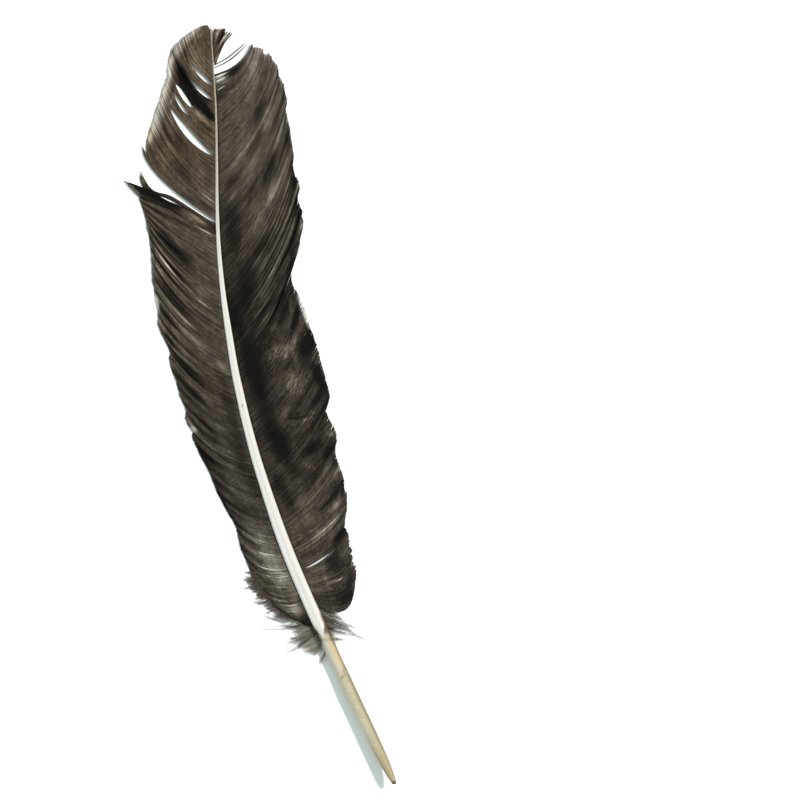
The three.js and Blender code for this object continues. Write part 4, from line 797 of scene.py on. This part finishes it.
# ------------------------------------------------------------------ shaft
def shaft_material():
    m, t = nodes_of("feather_shaft")
    out = node(t, "ShaderNodeOutputMaterial")
    bs = node(t, "ShaderNodeBsdfPrincipled")
    t.links.new(bs.outputs[0], out.inputs[0])
    sv, sa, hgt = attr(t, "sv"), attr(t, "sa"), attr(t, "hgt")     # place along, place across (-1..1), height in the section (0..1)
    fib = noise(t, combine(t, math_(t, "MULTIPLY", sv, 0.03), math_(t, "MULTIPLY", sa, 5.0), hgt), 1.0, 5.0, 0.65)
    fib2 = noise(t, combine(t, math_(t, "MULTIPLY", sv, 0.35), math_(t, "MULTIPLY", sa, 2.0), 5.0), 1.0, 4.0, 0.6)
    cream = mix(t, fib, (0.52, 0.49, 0.465), (0.66, 0.63, 0.60))
    # painted shade: a greyer band along the groove on top of the rachis
    groove_shade = math_(t, "SUBTRACT", 1.0, math_(t, "MULTIPLY", math_(t, "ABSOLUTE", math_(t, "ADD", sa, 0.10)), 3.2), True)
    cream = mix(t, math_(t, "MULTIPLY", groove_shade, 0.55), cream, (0.44, 0.42, 0.40))
    # painted light and shade across the rachis: the left side is painted lighter, the right side duller
    cream = mix(t, math_(t, "MULTIPLY", math_(t, "SUBTRACT", -0.35, sa), 1.6, True), cream, (0.84, 0.80, 0.77))
    cream = mix(t, math_(t, "MULTIPLY", math_(t, "SUBTRACT", sa, 0.40), 1.5, True), cream, (0.42, 0.39, 0.34))
    cream = mix(t, attr(t, "slim"), cream, mix(t, fib2, (0.20, 0.155, 0.115), (0.36, 0.30, 0.24)))
    spk = noise(t, combine(t, math_(t, "MULTIPLY", sv, 0.9), math_(t, "MULTIPLY", sa, 3.5), 9.0), 1.0, 4.0, 0.7)
    horn = mix(t, fib, (0.30, 0.272, 0.19), (0.50, 0.465, 0.345))
    horn = mix(t, math_(t, "MULTIPLY", math_(t, "SUBTRACT", spk, 0.48), 3.2, True), horn, (0.27, 0.225, 0.135))
    horn = mix(t, math_(t, "MULTIPLY", fib2, 0.45), horn, (0.40, 0.345, 0.21))
    mot = noise(t, combine(t, math_(t, "MULTIPLY", sv, 0.22), math_(t, "MULTIPLY", sa, 1.1), 2.0), 1.0, 3.0, 0.6)
    horn = mix(t, math_(t, "MULTIPLY", math_(t, "SUBTRACT", mot, 0.50), 3.6, True), horn, (0.60, 0.475, 0.375))
    horn = mix(t, math_(t, "MULTIPLY", math_(t, "SUBTRACT", 0.48, mot), 3.6, True), horn, (0.37, 0.385, 0.235))
    # painted light and shade across the stem: its left side is painted lighter, its right side darker
    horn = mix(t, math_(t, "MULTIPLY", math_(t, "SUBTRACT", 0.05, sa), 0.8, True), horn, (0.64, 0.565, 0.45))
    horn = mix(t, math_(t, "MULTIPLY", math_(t, "SUBTRACT", sa, 0.10), 1.4, True), horn, (0.19, 0.155, 0.085))
    horn = mix(t, attr(t, "aged"), horn, mix(t, fib2, (0.22, 0.16, 0.08), (0.36, 0.285, 0.17)))
    horn = mix(t, attr(t, "gold"), horn, (0.44, 0.325, 0.155))
    # the pale ridge below the vee: partly its own paler horn, partly a painted highlight down the left side
    horn = mix(t, attr(t, "ridge_and_highlight"), horn, (0.50, 0.455, 0.395))
    # painted shade: a dark rim down the right side of the stem
    right_rim_shade = math_(t, "MULTIPLY", math_(t, "SUBTRACT", sa, 0.80), 5.0, True)
    horn = mix(t, math_(t, "MULTIPLY", right_rim_shade, 0.75), horn, (0.10, 0.068, 0.034))
    cal = attr(t, "cal")                                             # 1 on the bare stem
    col = mix(t, cal, cream, horn)
    # the back of the shaft and its sides by the vanes are brown horn
    low = math_(t, "SUBTRACT", 1.0, math_(t, "MULTIPLY", hgt, 2.0), True)
    brown = mix(t, fib2, (0.075, 0.048, 0.028), (0.16, 0.11, 0.066))
    lowk = math_(t, "MULTIPLY", low, math_(t, "SUBTRACT", 1.0, math_(t, "MULTIPLY", cal, 0.85)))
    col = mix(t, lowk, col, brown)
    col = mix(t, attr(t, "mark"), col, (0.075, 0.048, 0.030))
    t.links.new(col, bs.inputs["Base Color"])
    rr = math_(t, "ADD", math_(t, "MULTIPLY", fib, 0.2), 0.42)
    t.links.new(rr, bs.inputs["Roughness"])
    bs.inputs["Specular IOR Level"].default_value = 0.22
    bs.inputs["Subsurface Weight"].default_value = 0.3
    bs.inputs["Subsurface Scale"].default_value = 0.002
    bs.inputs["Subsurface Radius"].default_value = (1.0, 0.6, 0.35)
    bump = node(t, "ShaderNodeBump")
    bump.inputs["Strength"].default_value = 0.3
    bump.inputs["Distance"].default_value = 0.0002
    t.links.new(fib, bump.inputs["Height"])
    t.links.new(bump.outputs[0], bs.inputs["Normal"])
    return m


def shaft():
    v = np.concatenate([np.linspace(27, 600, 240), np.linspace(602, 660, 60), np.linspace(661.5, 748, 60), np.linspace(749.5, 783, 36)])
    k = 40
    an = np.linspace(0, 2 * np.pi, k, endpoint=False) + np.pi / 2              # from the top of the section
    c, s = np.cos(an), np.sin(an)
    # rachis section: squarish, flat back, a groove along the top
    e = 0.55
    ra = 0.5 * np.sign(c) * np.abs(c) ** e
    rb = 0.5 + 0.5 * np.sign(s) * np.abs(s) ** e
    rb = rb - 0.045 * np.exp(-((ra - 0.03) / 0.09) ** 2) * (s > 0) + 0.010 * np.exp(-((np.abs(ra) - 0.2) / 0.08) ** 2) * (s > 0)
    oa, ob = 0.5 * c, 0.5 + 0.5 * s
    V = []
    at = dict(sv=[], sa=[], hgt=[], cal=[], mark=[], slim=[], ridge_and_highlight=[], aged=[], gold=[])

    def vee(x):
        # where the cream rachis ends: a point left of the middle, steep on its right
        y = x + 0.15
        return 635.5 - np.where(y > 0, 14 * np.minimum(y, 0.5) + 8 * np.clip(y - 0.5, 0, 1), -9.5 * y + 4 * np.clip(-y - 0.35, 0, 1))
    for q in v:
        w, d = float(U * sw(q)), float(depth(q))
        t = float(su(q + 0.5) - su(q - 0.5))
        tl = math.hypot(t, 1)
        r = float(smooth(600, 650, q))
        end = (1 - float(sw(q)) / float(sw(750))) * 0.5 * U * float(sw(750)) * 0.9 if q > 750 else 0.0
        a, b = ra + (oa - ra) * r, rb + (ob - rb) * r
        x = a * w / U
        z = float(ZB(q)) + b * d + end
        V.append(place(float(su(q)) + x / tl, q - x * t / tl, z))
        at["sv"].append(np.full(k, q))
        at["sa"].append(a * 2)
        at["hgt"].append(b)
        # the cream rachis ends in a point on the left of the stem
        at["cal"].append(np.clip(smooth(0, 2.4, q - vee(a * 2)), 0, 1))
        at["aged"].append(0 * a + 0.75 * float(smooth(722, 775, q)))
        at["slim"].append(0 * a + 1 - float(smooth(70, 300, q)))
        # a pale strip down the left of the stem below the vee, partly its own colour and partly a painted highlight; a
        # pale lump at the node on the right
        ridge_highlight_mask = np.exp(-((a * 2 + 0.48 - 0.5 * (q - 633) / 45) / (0.42 * (1 - 0.45 * smooth(640, 678, q)))) ** 2) * smooth(628, 636, q) * (1 - smooth(668, 679, q)) * (b > 0.5)
        ridge_highlight_mask = ridge_highlight_mask + 0.8 * np.exp(-((q - 673.5) / 1.8) ** 2) * np.exp(-((a * 2 - 0.82) / 0.2) ** 2)
        at["ridge_and_highlight"].append(np.clip(ridge_highlight_mask, 0, 1))
        at["gold"].append(0.75 * smooth(640, 648, q) * (1 - smooth(664, 674, q)) * np.exp(-((a * 2 - 0.38) / 0.35) ** 2) * (b > 0.5))
        mk = 0 * a
        # the node where the down ends: a bent crease with a pale lump on its right
        cr = 675.5 + 3.2 * (a * 2 - 0.15) ** 2 * np.where(a * 2 > 0.15, -1.6, 1.0)
        mk = mk + 0.75 * np.exp(-((q - cr) / 0.9) ** 2) * np.exp(-((a * 2 - 0.15) / 0.6) ** 4) * (b > 0.5)
        mk = mk + 0.55 * np.exp(-((q - 671 - 5 * a) / 0.8) ** 2) * np.exp(-((a * 2 - 0.35) / 0.3) ** 2) * (b > 0.5)
        mk = mk + 0.85 * smooth(612, 620, q) * (1 - smooth(634, 646, q)) * np.exp(-((a * 2 - 0.92) / 0.22) ** 2) * (b > 0.3)
        mk = mk + 1.0 * smooth(622, 630, q) * (1 - smooth(637, 645, q)) * np.exp(-((a * 2 + 0.92) / 0.25) ** 2) * (b > 0.3)
        vb = vee(a * 2)
        mk = mk + 0.95 * smooth(0.3, 2.2, q - vb) * smooth(0.02, 0.3, a * 2) * (1 - smooth(631, 637, q)) * (b > 0.3)
        mk = mk + 0.45 * np.exp(-((q - vb - 1.2) / 1.2) ** 2) * (b > 0.5) * smooth(0.1, 0.4, -0.15 - a * 2)
        mk = mk + 0.35 * np.exp(-((q - 639 - 4 * a) / 1.6) ** 2) * (b > 0.5)
        mk = mk + 0.5 * np.exp(-((q - 672) / 3.5) ** 2) * np.exp(-((a * 2 - 0.9) / 0.2) ** 2)
        mk = mk + 0.7 * np.exp(-((q - 406) / 1.2) ** 2) * np.exp(-((a * 2 - 0.0) / 0.25) ** 2) * (b > 0.5)
        mk = mk + smooth(779.2, 781.0, q) * 1.0
        at["mark"].append(np.clip(mk, 0, 1))
    n = len(v)
    V = np.array(V).reshape(-1, 3)
    i, j = np.meshgrid(np.arange(n - 1), np.arange(k), indexing="ij")
    a, b = i * k + j, i * k + (j + 1) % k
    F = np.stack([a, a + k, b + k, b], -1).reshape(-1, 4)
    # close the ends with triangle fans around a centre point
    c0, c1 = V[:k].mean(0), V[-k:].mean(0)
    V = np.concatenate([V, [c0, c1]])
    o0, o1 = len(V) - 2, len(V) - 1
    T0 = [(o0, jj, (jj + 1) % k) for jj in range(k)]
    T1 = [(o1, (n - 1) * k + (jj + 1) % k, (n - 1) * k + jj) for jj in range(k)]
    tri = np.concatenate([np.stack([F[:, 0], F[:, 1], F[:, 2]], -1), np.stack([F[:, 0], F[:, 2], F[:, 3]], -1), T0, T1])
    at = {q: np.concatenate([np.concatenate(x), [x[0].mean() if q != "sv" else 27, x[-1].mean() if q != "sv" else 783]]) for q, x in at.items()}
    return mesh("shaft_horn", V, tri, at, shaft_material(), "shaft", smooth_faces=True, bake_plan=True)


shaft()

# ------------------------------------------------------------------ floor, light, camera
fm, ft = nodes_of("floor_paper")
fo = node(ft, "ShaderNodeOutputMaterial")
fb = node(ft, "ShaderNodeBsdfPrincipled")
ft.links.new(fb.outputs[0], fo.inputs[0])
fn = noise(ft, node(ft, "ShaderNodeTexCoord").outputs["Object"], 40.0, 2.0)
ft.links.new(mix(ft, fn, (0.93, 0.935, 0.94), (0.95, 0.95, 0.95)), fb.inputs["Base Color"])
fb.inputs["Roughness"].default_value = 0.9
fb.inputs["Specular IOR Level"].default_value = 0.1
bpy.ops.mesh.primitive_plane_add(size=6.0, location=(0, 0, 0))
floor = bpy.context.object
floor.name = "floor"
floor.data.materials.append(fm)

w = bpy.data.worlds.new("studio")
bpy.context.scene.world = w
w.use_nodes = True
bg = w.node_tree.nodes["Background"]
bg.inputs[0].default_value = (0.84, 0.985, 0.97, 1)
bg.inputs[1].default_value = 0.70

centre = place(400.0, 400.0, 0.0)
right = np.array([EX[0], EY[0], 0.0])          # the picture's right and up in the part's frame
up = np.array([EX[1], EY[1], 0.0])


def area(name, at, size, power, colour):
    d = bpy.data.lights.new(name, "AREA")
    d.shape = "DISK"
    d.size = size
    d.energy = power
    d.color = colour
    o = bpy.data.objects.new(name, d)
    bpy.context.scene.collection.objects.link(o)
    from mathutils import Vector
    o.location = Vector(at)
    o.rotation_euler = (Vector((float(centre[0]), float(centre[1]), 0.0)) - Vector(at)).to_track_quat("-Z", "Y").to_euler()
    return o


kd = (right * 0.62 + up * 0.24 + np.array([0, 0, 0.75]))
kd = kd / np.linalg.norm(kd)
area("key", tuple(centre + kd * 2.2), 0.36, 63.0, (1.0, 0.965, 0.93))

cam = bpy.data.cameras.new("camera")
co = bpy.data.objects.new("camera", cam)
bpy.context.scene.collection.objects.link(co)
HEIGHT = 2.0
cam.type = "PERSP"
cam.sensor_width = 36.0
cam.lens = 36.0 * HEIGHT / (800 * U * 0.001)
cam.clip_start, cam.clip_end = 0.05, 20
from mathutils import Matrix, Vector
X, Y, Z = Vector(right), Vector(up), Vector((0, 0, 1))
M = Matrix((X, Y, Z)).transposed().to_4x4()
M.translation = Vector((float(centre[0]), float(centre[1]), HEIGHT))
co.matrix_world = M
bpy.context.scene.camera = co

sc = bpy.context.scene
sc.view_settings.view_transform = "Standard"
sc.view_settings.look = "None"
sc.view_settings.exposure = 0.0
sc.view_settings.gamma = 1.0
